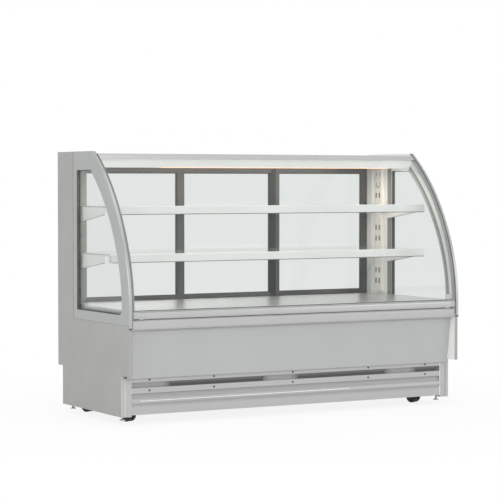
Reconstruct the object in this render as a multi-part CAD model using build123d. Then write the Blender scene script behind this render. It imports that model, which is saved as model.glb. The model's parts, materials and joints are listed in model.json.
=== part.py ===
from build123d import *
from math import ceil, cos, floor, hypot, radians, sin, sqrt
import os

os.makedirs("parts", exist_ok=True)

# All sizes are in millimetres and all angles in degrees. X runs to the right, the front faces -Y, Z is up,
# and the origin is on the floor under the middle of the case.

# Overall size and general fits
LENGTH = 1880
DEPTH = 822
HEIGHT = 1300
END_T = 20  # thickness of each end: silver frame, pane and white liner together
FIT = 0.3  # gap beside a piece that is only pushed into place
BORE_FIT = 0.05  # radial clearance of every pin that turns in a bore
SHEET = 2  # folded steel sheet

HALF = LENGTH / 2
INNER = HALF - END_T
SPAN = INNER - FIT
FRONT = -DEPTH / 2
BACK = DEPTH / 2

# Front curve: upright, then two arcs that lean back more and more
CURVE_Z = 541
LOW_R = 790
LOW_LEAN = 18.2
TOP_LEAN = 53.9

# Painted end panels
PANEL_STEP = 1  # the panel lies this far inside the face of the silver frame
NOSE_D = 7  # depth of the bright nose in front of the frame and panel
WAIST_Z = 476  # the panel's front half ends here and the silver frame begins
COLUMN_D = 191  # depth of the panel's rear column
KICK_TOP_Z = 235
KICK_SET = 88  # how far the kick face stands back from the nose
SKIRT_Z = 38
REAR_STEP_Z = 231
REAR_STEP_D = 55

# Windows in the ends
FRAME_T = 10  # silver frame; the rest of the end is liner and pane
PANE_T = 6
WINDOW_INSET = 82
WINDOW_REAR_IN = 40  # silver frame between the window and the rear column
WINDOW_TOP_IN = 91
WINDOW_Z0 = 522
WINDOW_R = (6, 30, 8)  # corner radii: rear, front bottom, front top
PANE_LAP = 12
GASKET_W = 4
GASKET_LIP = 2  # the outer gasket stops this far inside the frame's face
STILE_COVER_W = 37
STILE_COVER_T = 2
STILE_COVER_GAP = 1  # between the cover and the rear column
STRIP_W = 5
STRIP_D = 4
NOSE_R = 5
NOSE_Z0 = 465
PLUG_H = 7

# Ledge under the front glass
LEDGE_IN = 6
LEDGE_D = 33
LEDGE_TOP = 502
LEDGE_H = 49
LEDGE_WALL = 3
LEDGE_R = 13

# Front glass, its rails and hinges
GLASS_IN = 4
GLASS_T = 6
GLASS_END_GAP = 6
RAIL_END_GAP = 3.5
RAIL_LIFT = 5  # bottom rail above the ledge
RAIL_H = 36
RAIL_IN = 2
RAIL_D = 21
RAIL_R = 13  # rounding of the bottom rail's upper front edge
RAIL_FOOT_R = 8
GLASS_SEAT = 1  # rail material between the hinge notch and the glass
TOP_RAIL_IN = 1
TOP_RAIL_D = 15
TOP_RAIL_H = 25
TOP_RAIL_SEAT = 17
HINGE_IN = 9
HINGE_LIFT = 9
HINGE_END_IN = 47  # middle of each hinge from the inner face of the end
KNUCKLE_W = 24
KNUCKLE_R = 7
KNUCKLE_FOOT_D = 18
KNUCKLE_FOOT_H = 4
NOTCH_R = 8.5
NOTCH_GAP = 0.5
HINGE_PIN_R = 2.5
PIN_SEAT = 8  # how far each hinge pin reaches into the rail
SEAL_W = 12
SEAL_D = 4
SEAL_GAP = 0.5

# Canopy and lamp
CANOPY_DROP = 11  # roof sheet below the top of the end frames
CANOPY_GAP = 1.5  # between the glass's top rail and the canopy's lip
CANOPY_SKIRT = 44
LAMP_GAP = 1.5  # between the canopy's lip and the lamp housing
LAMP_D = 57
LAMP_H = 66
LAMP_BOTTOM_D = 41  # depth of the housing's lower shelf
LAMP_SHEET = 1.5
DIFFUSER_T = 3
LED_W = 10
LED_T = 2
LED_END_GAP = 40

# Front panel and kick
PANEL_TOP_GAP = 2  # between the front panel and the ledge
PANEL_TOP_IN = 42
PANEL_BOTTOM_IN = 73
PANEL_BOTTOM_Z = 220
POST_W = 34  # corner post beside each end of the kick grille
KICK_PLATE = 6
KICK_Z0 = 46
KICK_LIP_H = 20
CHANNEL_H = 26
CHANNEL_D = 12
BAR_H = 26
GROOVE_H = 23
GROOVE_D = 8
RIB_H = 28
RIB_D = 3
KICK_FLANGE = 12
KICK_ROOM = 18  # from the kick face back to the base frame
LEFT_VENT = (206, 721)  # from the left end of the kick
RIGHT_VENTS = ((851, 336), (146, 18))  # from the right end of the kick
VENT_LIP = 3
CORNER_R = 5
CORNER_T = 3
CORNER_RETURN = 30
SCREW_INSETS = (94, 442)  # from each end of the kick; one more pair of screws is in the middle
SCREW_DROPS = (9, 59)  # screw rows below the top of the kick
SCREW_HEAD_R = 4.5
SCREW_HEAD_T = 2.5
SCREW_R = 2.4
SCREW_L = 6

# Base frame of square tube
TUBE = 30
TUBE_WALL = 2.5
FRAME_Z0 = 88
FRAME_TOP = 452
TAB_H = 8
TAB_W = 24

# Casters and levelling feet
CASTER_END_IN = 94  # swivel axes from the inner faces of the ends
CASTER_IN = (107, 95)  # front and rear swivel axes from the faces of the base frame
CASTER_TURN = 24  # how the wheels stand, turned about the swivel
SEAT_W = 75
SEAT_T = 3
TRAIL = 20
WHEEL_R = 30
WHEEL_W = 19
CASTER_WEB = 7
WEB_GAP = 0.5
AXLE_R = 4
HOOD_GAP = 3
HOOD_T = 2
STEM_R = 11
COLLAR_R = 22
COLLAR_H = 5
KINGPIN_R = 6
KINGPIN_L = 14
FOOT_IN = (45, 44)  # front and rear feet from the faces of the base frame
FOOT_Z = 15
FOOT_R = 14
FOOT_H = 8
FOOT_ROD_R = 5
FOOT_ROD_TOP = 128

# Display deck and the well under it
DECK_Z = 545
TRAY_H = 10
TRAY_GAP = 3
TRAYS = 3
DECK_FRONT_IN = 43
FLANGE_T = 4
WELL_WALL = 30
WELL_BASE = 20
WELL_IN = 5  # well's outer wall behind the face of the base frame
WELL_BACK_IN = 17
WELL_END_GAP = 2
SLOT_L = 90
SLOT_W = 8
SLOT_STEP = 120

# Rear: sill, header, jambs and rear panel
REAR_LIP = 2  # edge of the end panels left showing round the rear panel
SILL_D = 66
SILL_H = 35
HEADER_DROP = 72  # lower edge of the header below the top of the case
TRACKS = (12, 34, 56)  # middle of each track behind the front of the sill
TRACK_W = 15.2
TRACK_D = 12
HEADER_TRACK_D = 28
JAMB_LEFT = 68
JAMB_RIGHT = 21
REAR_SKIRT_Z = 60
LOUVRE_L = 60
LOUVRE_H = 5
LOUVRE_STEP = 80
LOUVRE_ROWS = (100, 118, 136, 154)
LOUVRES_IN = (300, 580)  # first and last louvre columns from the left and right ends

# Sliding rear doors
DOOR_LAPS = (36, 5)  # how far the closed doors overlap at the left and at the right
DOOR_T = 14
DOOR_GAP = 2  # between a closed door and its jamb
DOOR_LIFT = 0.4
DOOR_RISE = 12  # how far the doors reach up into the header
STILE_W = 40
DOOR_RAIL_LOW = 42
DOOR_RAIL_HIGH = 44
DOOR_GLASS_T = 4
DOOR_GLASS_LAP = 10
PULL_W = 10
PULL_H = 140
PULL_D = 4
PULL_Z = 860

# Shelves
STANDARD_W = 63
STANDARD_GAP = 18  # between a standard and the front of the sill
STANDARD_D = 12
STANDARD_T = 2
STANDARD_Z0 = 560
STANDARD_TOP_IN = 75
SLOT_PITCH = 58
FIRST_SLOT = 53
HOOK_SLOT_H = 24
HOOK_SLOT_W = 6
HOOK_ROWS = (22, 53)  # middle of each column of slots behind the standard's front edge
SIGHT_HOLE_R = 6
SIGHT_HOLE_DROP = 104
SHELF_SLOTS = (3, 7)  # slot that the upper hook of each shelf sits in, counted from the lowest
SHELF_RISE = 14
SHELF_END_GAP = 13
SHELF_GLASS_T = 6
SHELF_GLASS_GAP = 7
SHELF_SET = 263  # shelf fronts behind the front of the case
SHELF_BACK_GAP = 43
SHELF_NOSE_D = 30
SHELF_NOSE_H = 40
SHELF_NOSE_R = 4
SHELF_NOSE_WALL = 3
SHELF_REBATE = 12
SHELF_RAIL_T = 3
SHELF_RAIL_W = 14
BRACKET_T = 3
BRACKET_SET = 78  # tip of each bracket behind the shelf's front
BRACKET_HEEL = 57  # the deep part of each bracket begins this far in front of the standards
BRACKET_FRONT_H = 42
BRACKET_TIP_H = 81
BRACKET_ARM_H = 46
HOOK_L = 5
HOOK_H = 20

# Heating elements and fan in the well
ELEMENT_R = 4
ELEMENT_LIFT = 22
ELEMENT_TURN_R = 45
ELEMENT_LEG = 560
ELEMENT_END_IN = 378  # middle of each hairpin from the end of the well
ELEMENT_SET = 210
CLIP_W = 12
FAN_R = 20
FAN_L = 300
FAN_BLADES = 18
FAN_BLADE_T = 1.2
FAN_BLADE_D = 7
FAN_DISC_T = 3
FAN_GAP = 4
FAN_SHAFT_R = 4
FAN_SHELL = 2
FAN_PLATE = 4
FAN_X = 0
MOTOR_R = 18
MOTOR_L = 50

# Control box on the lower rear panel
CONTROL_IN = 320  # left edge of the box from the inner face of the right end
CONTROL_W = 240
CONTROL_Z0 = 100
CONTROL_H = 110
CONTROL_D = 42
SWITCH_DX = (45, 90)
SWITCH_W = 22
SWITCH_H = 30
SWITCH_D = 8
SWITCH_PIVOT_R = 2
SWITCH_TILT = 8
SWITCH_GAP = 0.6
KNOB_DX = 165
KNOB_R = 18
KNOB_H = 12
KNOB_SHAFT_R = 3
KNOB_GAP = 0.8
CONTROL_ROW = 65  # height of the controls above the bottom of the box
INLET_DX = 215
INLET_R = 9
INLET_L = 14

# Places that follow from the sizes above
PANEL_FRONT = FRONT + NOSE_D
KICK_FACE = FRONT + KICK_SET
FRAME_FRONT = KICK_FACE + KICK_ROOM
REAR_FACE = BACK - REAR_LIP
REAR_LOW = BACK - REAR_STEP_D - REAR_LIP
FRAME_BACK = REAR_LOW - SHEET
COLUMN_Y = BACK - COLUMN_D
WINDOW_REAR = COLUMN_Y - WINDOW_REAR_IN
WINDOW_Z1 = HEIGHT - WINDOW_TOP_IN
HINGE_X = INNER - HINGE_END_IN
KICK_END = INNER - POST_W
VENTS_X = [(LEFT_VENT[0] - KICK_END, LEFT_VENT[1] - KICK_END)]
VENTS_X += [(KICK_END - start, KICK_END - end) for start, end in RIGHT_VENTS]
SCREW_X = [0] + [side * (KICK_END - inset) for side in (-1, 1) for inset in SCREW_INSETS]
CASTER_X = INNER - CASTER_END_IN
CASTER_Y = (FRAME_FRONT + CASTER_IN[0], FRAME_BACK - CASTER_IN[1])
FOOT_X = INNER - TUBE / 2
FOOT_Y = (FRAME_FRONT + FOOT_IN[0], FRAME_BACK - FOOT_IN[1])
LEDGE_Z0 = LEDGE_TOP - LEDGE_H
LEDGE_BACK = FRONT + LEDGE_IN + LEDGE_D
PANEL_TOP_Z = LEDGE_Z0 - PANEL_TOP_GAP
KICK_TOP = PANEL_BOTTOM_Z - FIT
CANOPY_Z = HEIGHT - CANOPY_DROP
CANOPY_UNDER = CANOPY_Z - SHEET
RAIL_Z0 = LEDGE_TOP + RAIL_LIFT
RAIL_Z1 = RAIL_Z0 + RAIL_H
TOP_RAIL_Z0 = CANOPY_Z - TOP_RAIL_H
GLASS_Z1 = CANOPY_Z - TOP_RAIL_SEAT
GLASS_OUT = GLASS_IN + GLASS_T
HINGE_Y = FRONT + HINGE_IN
HINGE_Z = LEDGE_TOP + HINGE_LIFT
GLASS_Z0 = HINGE_Z + NOTCH_R + GLASS_SEAT
CANOPY_IN = TOP_RAIL_IN + TOP_RAIL_D + CANOPY_GAP
SILL_FRONT = REAR_FACE - SILL_D
HEADER_Z = HEIGHT - HEADER_DROP
FLANGE_Z = DECK_Z - TRAY_H
REAR_TOP = FLANGE_Z - SILL_H
TRACK_Y = [SILL_FRONT + offset_y for offset_y in TRACKS]
DOOR_Z0 = FLANGE_Z - TRACK_D + DOOR_LIFT
DOOR_Z1 = HEADER_Z + DOOR_RISE
DOOR_W = (2 * INNER - JAMB_LEFT - JAMB_RIGHT - 2 * DOOR_GAP + sum(DOOR_LAPS)) / 3
LOUVRES_X = (LOUVRES_IN[0] - INNER, INNER - LOUVRES_IN[1])
STANDARD_Y0 = SILL_FRONT - STANDARD_GAP - STANDARD_W
STANDARD_Z1 = HEIGHT - STANDARD_TOP_IN
SHELF_FRONT = FRONT + SHELF_SET
SHELF_BACK = SILL_FRONT - SHELF_BACK_GAP
BRACKET_FRONT_Y = SHELF_FRONT + BRACKET_SET
BRACKET_TIP_Y = STANDARD_Y0 - BRACKET_HEEL
WELL_FRONT = FRAME_FRONT + WELL_IN
WELL_BACK = FRAME_BACK - WELL_BACK_IN
WELL_END = INNER - WELL_END_GAP
WELL_FLOOR = FRAME_TOP + WELL_BASE
ELEMENT_X = (ELEMENT_END_IN - WELL_END, WELL_END - ELEMENT_END_IN)
ELEMENT_Y = WELL_FRONT + ELEMENT_SET
FRAME_Z1 = FRAME_Z0 + TUBE
UPPER_Z0 = FRAME_TOP - TUBE
SHELF_HALF = INNER - SHELF_END_GAP
LAMP_BOTTOM = CANOPY_UNDER - LAMP_H
CONTROL_X0 = INNER - CONTROL_IN
CONTROL_FACE = REAR_LOW + CONTROL_D
CONTROL_Z = CONTROL_Z0 + CONTROL_ROW

# Centres and radii of the two arcs of the front curve
LOW_Y = FRONT + LOW_R
ARC_JOINT_Z = CURVE_Z + LOW_R * sin(radians(LOW_LEAN))
HIGH_R = (HEIGHT - ARC_JOINT_Z) / (sin(radians(TOP_LEAN)) - sin(radians(LOW_LEAN)))
HIGH_Y = LOW_Y - (LOW_R - HIGH_R) * cos(radians(LOW_LEAN))
HIGH_Z = CURVE_Z + (LOW_R - HIGH_R) * sin(radians(LOW_LEAN))


def front_y(inset, z):
    """Y of the front curve, drawn in by inset, at height z."""
    if z <= CURVE_Z:
        return FRONT + inset
    if z <= arc_joint(inset):
        return LOW_Y - sqrt((LOW_R - inset) ** 2 - (z - CURVE_Z) ** 2)
    return HIGH_Y - sqrt((HIGH_R - inset) ** 2 - (z - HIGH_Z) ** 2)


def arc_joint(inset):
    """Height at which the lower arc, drawn in by inset, runs into the upper one."""
    return CURVE_Z + (LOW_R - inset) * sin(radians(LOW_LEAN))


def front_line(inset, z0, z1):
    """The front curve, drawn in by inset, from height z0 up to z1, in Y and Z."""
    stops = [z0] + [z for z in (CURVE_Z, arc_joint(inset)) if z0 < z < z1] + [z1]
    edges = []
    for low, high in zip(stops, stops[1:]):
        start = (front_y(inset, low), low)
        end = (front_y(inset, high), high)
        if high <= CURVE_Z:
            edges.append(Line(start, end))
        else:
            middle = (low + high) / 2
            edges.append(ThreePointArc(start, (front_y(inset, middle), middle), end))
    return edges


def front_band(outer, inner, z0, z1):
    """Side profile of a layer between two insets of the front curve."""
    edges = front_line(outer, z0, z1) + front_line(inner, z0, z1)
    for z in (z0, z1):
        edges.append(Line((front_y(outer, z), z), (front_y(inner, z), z)))
    return make_face(edges)


def front_area(inset, rear, z0, z1):
    """Side profile from the front curve, drawn in by inset, back to an upright line."""
    edges = front_line(inset, z0, z1)
    edges.append(Polyline((front_y(inset, z1), z1), (rear, z1), (rear, z0), (front_y(inset, z0), z0)))
    return make_face(edges)


def rounded(face, u, v, radius):
    """The face with its corner nearest to (u, v) rounded."""
    return fillet(face.vertices().sort_by_distance((u, v))[0], radius)


def same_normal(inset, z, other):
    """Height on the curve drawn in by other that faces height z on the curve drawn in by inset."""
    if z <= CURVE_Z:
        return z
    if z <= arc_joint(inset):
        return CURVE_Z + (z - CURVE_Z) * (LOW_R - other) / (LOW_R - inset)
    return HIGH_Z + (z - HIGH_Z) * (HIGH_R - other) / (HIGH_R - inset)


def corner(center, start, end):
    """A short arc about center from start to end."""
    radius = hypot(start[0] - center[0], start[1] - center[1])
    u, v = (start[0] + end[0]) / 2 - center[0], (start[1] + end[1]) / 2 - center[1]
    share = radius / hypot(u, v)
    return ThreePointArc(start, (center[0] + u * share, center[1] + v * share), end)


def window(grow):
    """Side profile of a window with round corners, made larger all round by grow."""
    inset, rear = WINDOW_INSET - grow, WINDOW_REAR + grow
    z0, z1 = WINDOW_Z0 - grow, WINDOW_Z1 + grow
    rear_r, low_r, high_r = [max(radius + grow, FIT) for radius in WINDOW_R]
    low = (front_y(inset + low_r, z0 + low_r), z0 + low_r)
    high = (front_y(inset + high_r, z1 - high_r), z1 - high_r)
    low_z = same_normal(inset + low_r, low[1], inset)
    high_z = same_normal(inset + high_r, high[1], inset)
    edges = front_line(inset, low_z, high_z)
    edges += [
        corner(high, (front_y(inset, high_z), high_z), (high[0], z1)),
        Line((high[0], z1), (rear - rear_r, z1)),
        corner((rear - rear_r, z1 - rear_r), (rear - rear_r, z1), (rear, z1 - rear_r)),
        Line((rear, z1 - rear_r), (rear, z0 + rear_r)),
        corner((rear - rear_r, z0 + rear_r), (rear, z0 + rear_r), (rear - rear_r, z0)),
        Line((rear - rear_r, z0), (low[0], z0)),
        corner(low, (low[0], z0), (front_y(inset, low_z), low_z)),
    ]
    return make_face(edges)


def polygon(*points):
    """A closed side profile with straight sides, in Y and Z."""
    return make_face(Polyline(*points, close=True))


def crossing(start, way, other, other_way):
    """Where a line from start along way meets a line from other along other_way."""
    bottom = way[0] * other_way[1] - way[1] * other_way[0]
    reach = ((other[0] - start[0]) * other_way[1] - (other[1] - start[1]) * other_way[0]) / bottom
    return (start[0] + way[0] * reach, start[1] + way[1] * reach)


def folded(points, thickness):
    """Side profile of folded sheet: points run along one face, and the metal lies to their right."""
    ways = []
    for (u0, v0), (u1, v1) in zip(points, points[1:]):
        length = hypot(u1 - u0, v1 - v0)
        ways.append(((u1 - u0) / length, (v1 - v0) / length))
    shifted = [(u + way[1] * thickness, v - way[0] * thickness) for (u, v), way in zip(points, ways)]
    last, way = points[-1], ways[-1]
    other_face = [shifted[0]]
    for index in range(1, len(ways)):
        other_face.append(crossing(shifted[index - 1], ways[index - 1], shifted[index], ways[index]))
    other_face.append((last[0] + way[1] * thickness, last[1] - way[0] * thickness))
    return polygon(*points, *reversed(other_face))


def slab(face, x0, x1):
    """A side profile made solid from x0 to x1, whichever is the smaller."""
    low, high = min(x0, x1), max(x0, x1)
    return extrude(Plane.YZ.offset(low) * face, amount=high - low)


def box(x0, x1, y0, y1, z0, z1):
    """A block between two opposite corners."""
    place = Pos((x0 + x1) / 2, (y0 + y1) / 2, (z0 + z1) / 2)
    return place * Box(abs(x1 - x0), abs(y1 - y0), abs(z1 - z0))


def rod_x(x0, x1, y, z, radius):
    """A round bar along X."""
    return Pos((x0 + x1) / 2, y, z) * Rot(0, 90, 0) * Cylinder(radius, abs(x1 - x0))


def rod_y(x, y0, y1, z, radius):
    """A round bar along Y."""
    return Pos(x, (y0 + y1) / 2, z) * Rot(90, 0, 0) * Cylinder(radius, abs(y1 - y0))


def rod_z(x, y, z0, z1, radius):
    """A round bar along Z."""
    return Pos(x, y, (z0 + z1) / 2) * Cylinder(radius, abs(z1 - z0))


def write(name, *solids):
    """Write one named sub-part, which may be several separate solids."""
    pieces = [solid for shape in solids for solid in shape.solids()]
    export_step(pieces[0] if len(pieces) == 1 else Compound(pieces), f"parts/{name}.step")


def end_outline():
    """Side profile of an end panel: stepped kick at the front, column and step at the rear."""
    kick = KICK_FACE + KICK_PLATE
    rear = BACK - REAR_STEP_D
    return polygon(
        (BACK, HEIGHT), (BACK, REAR_STEP_Z), (rear, REAR_STEP_Z), (rear, SKIRT_Z),
        (kick, SKIRT_Z), (kick, KICK_TOP_Z), (PANEL_FRONT, KICK_TOP_Z), (PANEL_FRONT, WAIST_Z),
        (COLUMN_Y, WAIST_Z), (COLUMN_Y, HEIGHT),
    )


def glazed_ends():
    """End panels, and the silver frame, pane, liner, gaskets and noses that each end carries."""
    ring = front_area(NOSE_D, COLUMN_Y, WAIST_Z, HEIGHT)
    pane_out = HALF - FRAME_T
    pane_in = pane_out - PANE_T
    liners, noses, seals = [], [], []
    for side, name in ((-1, "left"), (1, "right")):
        write(f"end_panel_{name}", slab(end_outline(), side * INNER, side * (HALF - PANEL_STEP)))
        write(f"side_frame_{name}", slab(ring - window(0), side * pane_out, side * HALF))
        write(f"side_glass_{name}", slab(window(PANE_LAP), side * pane_in, side * pane_out))
        liner = slab(ring - window(0), side * INNER, side * pane_out)
        liners.append(liner - slab(window(PANE_LAP), side * pane_in, side * pane_out))
        gasket = window(0) - window(-GASKET_W)
        seals.append(slab(gasket, side * pane_out, side * (HALF - GASKET_LIP)))
        seals.append(slab(gasket, side * INNER, side * pane_in))
        seals += edge_seals(side)
        noses.append(nose(side))
    write("side_liners", *liners)
    write("edge_trims", *noses)
    write("frame_seals", *seals)


def nose(side):
    """The bright rounded nose on the front edge of one end."""
    bar = slab(front_band(0, NOSE_D, NOSE_Z0, HEIGHT), side * (INNER + STRIP_W), side * HALF)
    outer = [edge for edge in bar.edges() if on_nose_edge(edge, side)]
    return fillet(outer, min(NOSE_R, NOSE_D - FIT))


def on_nose_edge(edge, side):
    """Whether an edge runs along the front corner on the outer side of an end."""
    start, middle, end = edge @ 0, edge @ 0.5, edge @ 1
    on_side = all(abs(point.X - side * HALF) < 0.01 for point in (start, middle, end))
    return on_side and abs(middle.Y - front_y(0, middle.Z)) < 0.01 and abs(start.Z - end.Z) > 1


def edge_seals(side):
    """Rubber beside the nose, its end plug, the seal behind the glass and the stile cover."""
    strip = front_band(NOSE_D - STRIP_D, NOSE_D, WAIST_Z, HEIGHT)
    seal_in = GLASS_OUT + SEAL_GAP
    seal_z0 = HINGE_Z + hypot(RAIL_IN + RAIL_D - HINGE_IN, RAIL_Z1 - HINGE_Z) + CANOPY_GAP
    seal = front_band(seal_in, seal_in + SEAL_D, seal_z0, TOP_RAIL_Z0 - CANOPY_GAP)
    cover = INNER - STILE_COVER_T
    cover_back = COLUMN_Y - STILE_COVER_GAP
    return [
        slab(strip, side * INNER, side * (INNER + STRIP_W)),
        box(side * (INNER + STRIP_W), side * HALF, FRONT, PANEL_FRONT, NOSE_Z0 - PLUG_H, NOSE_Z0),
        slab(seal, side * (INNER - SEAL_W), side * INNER),
        box(side * cover, side * INNER, cover_back - STILE_COVER_W, cover_back, DECK_Z + FIT, STANDARD_Z1),
    ]


def front_ledge():
    """The rounded hollow bumper under the glass."""
    front = FRONT + LEDGE_IN
    outer = polygon((front, LEDGE_Z0), (front, LEDGE_TOP), (LEDGE_BACK, LEDGE_TOP), (LEDGE_BACK, LEDGE_Z0))
    radius = min(LEDGE_R, LEDGE_H / 2 - 1, LEDGE_D - 1)
    outer = rounded(rounded(outer, front, LEDGE_Z0, radius), front, LEDGE_TOP, radius)
    inner = offset(outer, -LEDGE_WALL)
    write("front_ledge", slab(outer - inner, -SPAN, SPAN))


def hinge_knuckles():
    """The two fixed knuckles that the glass turns on, each with its foot on the ledge."""
    knuckles = []
    for x in (-HINGE_X, HINGE_X):
        x0, x1 = x - KNUCKLE_W / 2, x + KNUCKLE_W / 2
        foot_y = HINGE_Y + KNUCKLE_FOOT_D
        barrel = rod_x(x0, x1, HINGE_Y, HINGE_Z, KNUCKLE_R)
        foot = box(x0, x1, HINGE_Y, foot_y, LEDGE_TOP, LEDGE_TOP + KNUCKLE_FOOT_H)
        knuckles.append(barrel + foot - rod_x(x0 - 1, x1 + 1, HINGE_Y, HINGE_Z, HINGE_PIN_R + BORE_FIT))
    write("hinge_knuckles", *knuckles)


def front_glass():
    """The curved pane with the rail at its foot, which holds the hinge pins, and the rail at its top."""
    glass_half = INNER - GLASS_END_GAP
    rail_half = INNER - RAIL_END_GAP
    pane = slab(front_band(GLASS_IN, GLASS_OUT, GLASS_Z0, GLASS_Z1), -glass_half, glass_half)
    low = slab(bottom_rail_face(), -rail_half, rail_half) - pane
    for x in (-HINGE_X, HINGE_X):
        x0, x1 = x - KNUCKLE_W / 2 - NOTCH_GAP, x + KNUCKLE_W / 2 + NOTCH_GAP
        low -= rod_x(x0, x1, HINGE_Y, HINGE_Z, NOTCH_R)
        low -= box(x0, x1, FRONT, HINGE_Y, LEDGE_TOP, HINGE_Z)
        low += rod_x(x0 - PIN_SEAT, x1 + PIN_SEAT, HINGE_Y, HINGE_Z, HINGE_PIN_R)
    top = front_band(TOP_RAIL_IN, TOP_RAIL_IN + TOP_RAIL_D, TOP_RAIL_Z0, CANOPY_Z)
    write("front_glass", pane)
    write("glass_bottom_rail", low)
    write("glass_top_rail", slab(top, -rail_half, rail_half) - pane)


def bottom_rail_face():
    """Side profile of the glass's bottom rail, well rounded on the upper front edge."""
    rear = RAIL_IN + RAIL_D
    low, high = front_y(RAIL_IN, RAIL_Z0), front_y(RAIL_IN, RAIL_Z1)
    face = polygon(
        (low, RAIL_Z0), (high, RAIL_Z1), (front_y(rear, RAIL_Z1), RAIL_Z1), (front_y(rear, RAIL_Z0), RAIL_Z0)
    )
    face = rounded(face, low, RAIL_Z0, min(RAIL_FOOT_R, RAIL_H / 3, RAIL_D / 2))
    return rounded(face, high, RAIL_Z1, min(RAIL_R, RAIL_H / 2, RAIL_D - 1))


def canopy():
    """Roof sheet with a lip behind the glass and a skirt down the back."""
    lip_z = TOP_RAIL_Z0
    roof = polygon(
        (front_y(CANOPY_IN, CANOPY_UNDER), CANOPY_UNDER), (front_y(CANOPY_IN, CANOPY_Z), CANOPY_Z),
        (BACK, CANOPY_Z), (BACK, CANOPY_Z - CANOPY_SKIRT), (REAR_FACE, CANOPY_Z - CANOPY_SKIRT),
        (REAR_FACE, CANOPY_UNDER),
    )
    lip = front_band(CANOPY_IN, CANOPY_IN + SHEET, lip_z, CANOPY_Z)
    write("canopy", slab(roof + lip, -SPAN, SPAN))


def lamp():
    """The folded lamp housing under the roof, its slanting diffuser and its strip of lights."""
    lip_in = CANOPY_IN + SHEET
    y0 = front_y(lip_in, CANOPY_UNDER) + LAMP_GAP
    y1 = y0 + LAMP_D
    bottom_y = y1 - LAMP_BOTTOM_D
    housing = folded(
        [(y0, CANOPY_UNDER), (y1, CANOPY_UNDER), (y1, LAMP_BOTTOM), (bottom_y, LAMP_BOTTOM)], LAMP_SHEET
    )
    write("lamp_housing", slab(housing, -SPAN, SPAN))
    diffuser = folded([(bottom_y, LAMP_BOTTOM), (front_y(lip_in, TOP_RAIL_Z0), TOP_RAIL_Z0)], DIFFUSER_T)
    diffuser -= front_band(0, lip_in + FIT, TOP_RAIL_Z0 - DIFFUSER_T, CANOPY_Z)
    diffuser -= housing
    write("lamp_diffuser", slab(diffuser, -SPAN, SPAN))
    led_half = INNER - LED_END_GAP
    led_y = (y0 + y1) / 2
    led_z = CANOPY_UNDER - LAMP_SHEET
    strips = [box(-led_half, led_half, led_y - LED_W / 2, led_y + LED_W / 2, led_z - LED_T, led_z)]
    for top in shelf_tops():
        led_y = SHELF_FRONT + SHELF_NOSE_D / 2
        led_z = top - SHELF_GLASS_T - SHELF_RAIL_T
        strips.append(box(-led_half, led_half, led_y - LED_W / 2, led_y + LED_W / 2, led_z - LED_T, led_z))
    write("led_strips", *strips)


def front_panel():
    """The plain sloping sheet between the ledge and the kick."""
    face = folded(
        [
            (FRAME_FRONT, PANEL_BOTTOM_Z), (FRONT + PANEL_BOTTOM_IN, PANEL_BOTTOM_Z),
            (FRONT + PANEL_TOP_IN, PANEL_TOP_Z), (FRAME_FRONT, PANEL_TOP_Z),
        ],
        SHEET,
    )
    write("front_panel", slab(face, -SPAN, SPAN))


def kick_levels():
    """Heights of the kick's folds, from the top down."""
    levels = [KICK_TOP]
    for height in (KICK_LIP_H, CHANNEL_H, BAR_H, GROOVE_H, RIB_H):
        levels.append(levels[-1] - height)
    return levels


def kick_grille():
    """The folded kick with its recessed air channel and its rounded rib."""
    top, lip, channel, bar, groove, rib = kick_levels()
    channel_y = KICK_FACE + CHANNEL_D
    groove_y = KICK_FACE + GROOVE_D
    upper = folded(
        [
            (groove_y, groove), (groove_y, bar), (KICK_FACE, bar), (KICK_FACE, channel),
            (channel_y, channel), (channel_y, lip), (KICK_FACE, lip), (KICK_FACE, top),
            (KICK_FACE + KICK_FLANGE, top),
        ],
        SHEET,
    )
    lower = folded([(KICK_FACE + KICK_FLANGE, KICK_Z0), (KICK_FACE, KICK_Z0), (KICK_FACE, rib)], SHEET)
    middle = (groove + rib) / 2
    bulge = KICK_FACE - RIB_D
    outer = ThreePointArc((groove_y, groove), (bulge, middle), (KICK_FACE, rib))
    inner = ThreePointArc((groove_y + SHEET, groove), (bulge + SHEET, middle), (KICK_FACE + SHEET, rib))
    ends = [Line(outer @ 0, inner @ 0), Line(outer @ 1, inner @ 1)]
    grille = slab(upper + lower + make_face([outer, inner, *ends]), -KICK_END, KICK_END)
    for x0, x1 in VENTS_X:
        grille -= box(x0, x1, channel_y - 1, channel_y + SHEET + 1, channel + VENT_LIP, lip - VENT_LIP)
    screws = []
    for x in SCREW_X:
        for drop in SCREW_DROPS:
            z = top - drop
            screws.append(screw(x, z))
            grille -= rod_y(x, KICK_FACE - 1, KICK_FACE + SHEET + 1, z, SCREW_R)
    write("kick_grille", grille)
    write("kick_screws", *screws)


def screw(x, z):
    """A pan-head screw in the kick."""
    head = rod_y(x, KICK_FACE - SCREW_HEAD_T, KICK_FACE, z, SCREW_HEAD_R)
    edge = head.edges().filter_by(GeomType.CIRCLE).sort_by(Axis.Y)[0]
    return fillet(edge, SCREW_HEAD_T / 2) + rod_y(x, KICK_FACE, KICK_FACE + SCREW_L, z, SCREW_R)


def kick_corners():
    """The post at each end of the kick, and the edge strip beside it on the end panel."""
    posts = []
    for side in (-1, 1):
        x0, x1 = side * KICK_END, side * (KICK_END + CORNER_T)
        post = edge_strip(side, KICK_END, SPAN, KICK_TOP)
        post += box(x0, x1, KICK_FACE, KICK_FACE + CORNER_RETURN, SKIRT_Z, FRAME_Z0)
        post += box(x0, x1, KICK_FACE, FRAME_FRONT, FRAME_Z0, KICK_TOP)
        posts += [post, edge_strip(side, INNER, HALF, KICK_TOP_Z)]
    write("kick_corners", *posts)


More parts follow.
